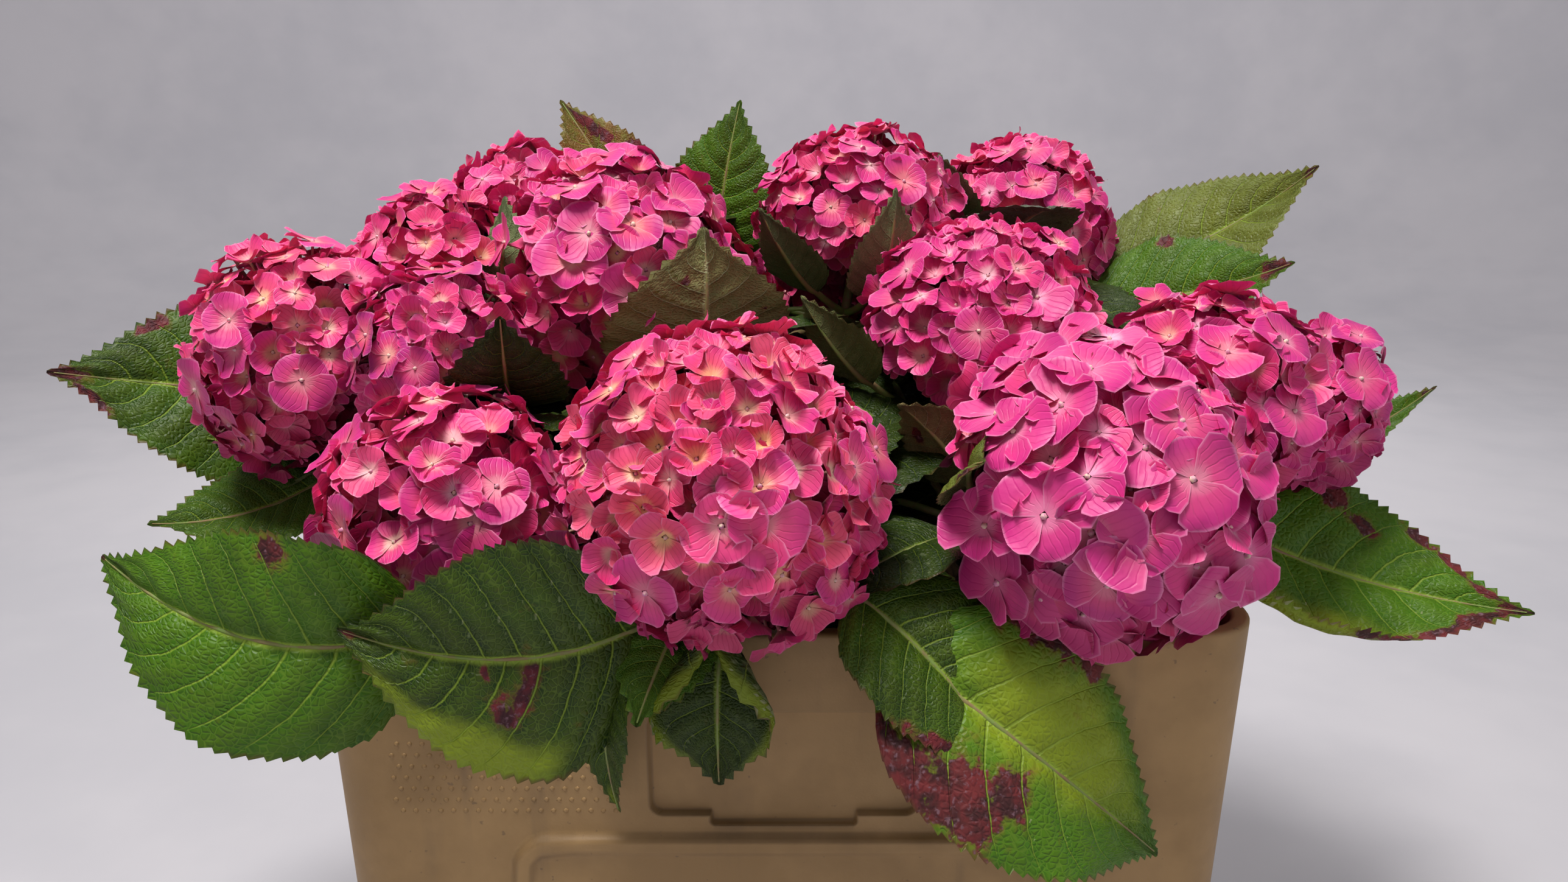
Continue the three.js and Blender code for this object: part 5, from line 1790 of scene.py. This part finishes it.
def crease(x, z):
    """How steeply the wall changes there, which is where painted shade darkens the plastic."""
    sideways = abs(moulding(x + 1, z) - moulding(x - 1, z))
    upwards = abs(moulding(x, z + 1) - moulding(x, z - 1))
    return min(1.0, (sideways + upwards) / FULL_CREASE)


print("panel stands out:", moulding(110.0, -200.0), "mm")

# %% Wall of the container
def crowded_lines(low, high, coarse, crowds):
    """Even lines from low to high, and closer ones where (middle, reach, step) says."""
    lines = list(np.linspace(low, high, max(2, round((high - low) / coarse) + 1)))
    for middle, reach, step in crowds:
        lines = [line for line in lines if abs(line - middle) > reach]
        lines += list(np.arange(middle - reach, middle + reach + step / 2, step))
    lines = sorted(line for line in lines if low <= line <= high)
    kept = [lines[0]]
    kept += [b for a, b in zip(lines, lines[1:]) if b - a > 0.25]
    return kept


side_crowds = []
for sign in (-1, 1):
    side_crowds += [(sign * 113.0, 8.0, 1.2), (sign * 55.0, 4.0, 0.6), (sign * 31.5, 1.6, 0.5)]
X_LINES = crowded_lines(-158.0, 158.0, 13.0, side_crowds)
Y_LINES = crowded_lines(-104.0, 104.0, 13.0, ())
Z_LINES = crowded_lines(-324.0, -4.0, 13.0, (
    (-39.0, 4.0, 0.6), (-84.5, 2.6, 0.6), (-90.0, 1.6, 0.5), (-101.0, 8.0, 1.2),
    (-289.0, 8.0, 1.2)))


def wall_ring(inset, height, moulded):
    """One loop of points round the container, seen from above anticlockwise."""
    draft = (RIM_HEIGHT - height) * DRAFT + inset
    half_x, half_y = RIM_LENGTH / 2 - draft, RIM_DEPTH / 2 - draft
    corner = CORNER_RADIUS - inset
    below = height - RIM_HEIGHT
    front = [(x, -half_y - moulded * moulding(x, below)) for x in X_LINES]
    loop = []
    sides = (front, [(half_x, y) for y in Y_LINES], [(-x, -y) for x, y in front],
             [(-half_x, -y) for y in Y_LINES])
    for k, side in enumerate(sides):
        loop += side
        middle_x = (half_x - corner) * (1 if k in (0, 1) else -1)
        middle_y = (half_y - corner) * (1 if k in (1, 2) else -1)
        for step in range(CORNER_STEPS + 1):
            turn = math.radians(90 * (k - 1) + 90 * step / CORNER_STEPS)
            loop.append((middle_x + corner * math.cos(turn), middle_y + corner * math.sin(turn)))
    return [(x, y, height) for x, y in loop]


# How far in and how high: round the foot, and from the rim down the inside to the floor
FOOT_PROFILE = ((3.0, 0.0), (0.9, 0.9), (0.0, 3.0))
RIM_PROFILE = (
    (0.0, 328.0), (0.15, 328.8), (0.6, 329.4), (1.2, 329.85), (2.0, 330.0), (4.0, 330.0),
    (6.0, 330.0), (6.8, 329.85), (7.4, 329.4), (7.85, 328.8), (8.0, 328.0), (8.0, 322.0),
    (8.0, 316.6), (7.6, 315.0), (6.4, 314.2), (5.0, 313.6), (5.0, 300.0), (5.0, 200.0),
    (5.0, 100.0), (5.0, 9.0), (6.0, 6.4), (9.0, 5.0))


def container_shell():
    """The container in one skin: up the outside, over the rim and down to the floor."""
    rings = [wall_ring(inset, height, 0) for inset, height in FOOT_PROFILE]
    rings += [wall_ring(0.0, RIM_HEIGHT + z, 1) for z in Z_LINES]
    rings += [wall_ring(inset, height, 0) for inset, height in RIM_PROFILE]
    count = len(rings[0])
    points = [point for ring in rings for point in ring]
    index = np.arange(len(points)).reshape(len(rings), count)
    index = np.concatenate((index, index[:, :1]), axis=1)
    faces = ring_quads(index).tolist()
    faces.append(tuple(range(count))[::-1])
    faces.append(tuple(range(len(points) - count, len(points))))
    piece = mesh_object("flower_container", np.array(points) * MM, faces)
    creases = [crease(x, z - RIM_HEIGHT) if abs(y) > 100 and z > 3 else 0 for x, y, z in points]
    piece.data.attributes.new("crease", "FLOAT", "POINT").data.foreach_set("value", creases)
    return piece


shell = container_shell()
print("container faces:", len(shell.data.polygons))

# %% Container finish
BEIGE, DULL_BEIGE = paint(170, 136, 88), paint(150, 118, 73)
DIRT, CREASE_SHADE, SPECKS = paint(112, 92, 68), paint(92, 70, 46), paint(96, 78, 60)


def plastic_finish():
    """Sun-dulled beige plastic: grey-brown smears, runs of dirt, painted shade in the creases and
    fine scratches.
    """
    finish, tree, shader = new_finish("beige_plastic")
    place = put(tree, "ShaderNodeTexCoord").outputs["Object"]
    colour, height = mottled(tree, place, 9.0, BEIGE, DULL_BEIGE)
    drawn = put(tree, "ShaderNodeMapping", {"Vector": place, "Scale": (1.0, 1.0, 0.08)})
    runs = noise(tree, drawn.outputs[0], 60.0, 4.0)
    smears = noise(tree, place, 14.0, 5.0, 0.65)
    dirt = calc(tree, "MULTIPLY", band(tree, runs, 0.5, 0.75), band(tree, smears, 0.42, 0.72))
    colour = tinge(tree, colour, DIRT, dirt, 0.65)
    # Painted shade darkens the creases of the moulding, broken up by the smears
    crease_shade = calc(tree, "MULTIPLY", attribute(tree, "crease"), band(tree, smears, 0.2, 0.6))
    colour = tinge(tree, colour, CREASE_SHADE, crease_shade, 0.4)
    pits = noise(tree, place, 900.0, 2.0)
    specks = band(tree, noise(tree, place, 210.0, 2.0), 0.7, 0.76)
    colour = tinge(tree, colour, SPECKS, specks, 0.5)
    height = calc(tree, "MULTIPLY_ADD", pits, 0.4, height)
    wire(tree, shader, colour, calc(tree, "MULTIPLY_ADD", smears, 0.2, 0.48), height, 0.0002)
    return finish


PLASTIC = plastic_finish()
shell.data.materials.append(PLASTIC)
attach(shell, "root")
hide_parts("container")
print("container finish:", PLASTIC.name)

# %% [markdown]
# ## Bumps on the container
# Beside the label recess the real container has a faint moulded pattern, and fields of
# small low bumps in staggered rows stand in its place. They repeat, so Geometry Nodes
# set one small dome on each point of a flat list and make the copies real.

# %% Tree: bumps
def bump_tree():
    tree, start, end = new_growth("bumps", [
        ("Width", "NodeSocketFloat"),
        ("Height", "NodeSocketFloat"),
        ("Finish", "NodeSocketMaterial"),
    ])
    dome = put(tree, "GeometryNodeMeshIcoSphere", {"Radius": 1.0, "Subdivisions": 1})
    size = put(tree, "ShaderNodeCombineXYZ",
               {0: start["Width"], 1: start["Height"], 2: start["Width"]})
    copies = put(tree, "GeometryNodeInstanceOnPoints", {
        "Points": start["Geometry"], "Instance": dome.outputs["Mesh"],
        "Scale": size.outputs[0]})
    real = put(tree, "GeometryNodeRealizeInstances", {"Geometry": copies.outputs[0]})
    smooth = put(tree, "GeometryNodeSetShadeSmooth", {"Geometry": real.outputs[0]})
    tree.links.new(set_finish(tree, smooth.outputs[0], start["Finish"]), end["Geometry"])
    return tree


BUMPS = bump_tree()
print("tree:", BUMPS.name)

# %% Set the bumps
# Millimetres: each field's ends along X, and where its top row is below the rim
BUMP_FIELDS = ((-186.0, -72.0), (72.0, 150.0))
BUMPS_BELOW_RIM = 51.0
BUMP_ROWS, BUMP_SPACING = 7, 5.4
BUMP_WIDTH, BUMP_HEIGHT = 1.3, 0.4
FLAT_HALF_LENGTH = 168


def bump_places():
    """Places in staggered rows on the flat part of the front and the back."""
    places = []
    for facing in (-1, 1):
        for left, right in BUMP_FIELDS:
            for row in range(BUMP_ROWS):
                below = BUMPS_BELOW_RIM + row * BUMP_SPACING
                shift = BUMP_SPACING / 2 * (row % 2)
                for x in np.arange(left + shift, right, BUMP_SPACING):
                    if abs(x) < FLAT_HALF_LENGTH:
                        y = RIM_DEPTH / 2 - below * DRAFT
                        places.append((-facing * x, facing * y, RIM_HEIGHT - below))
    return places


dots = mesh_object("grip_bumps", np.array(bump_places()) * MM, [])
grow(dots, BUMPS, width=BUMP_WIDTH * MM, height=BUMP_HEIGHT * MM, finish=PLASTIC)
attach(dots, "root")
print("bump faces:", len(dots.data.polygons))
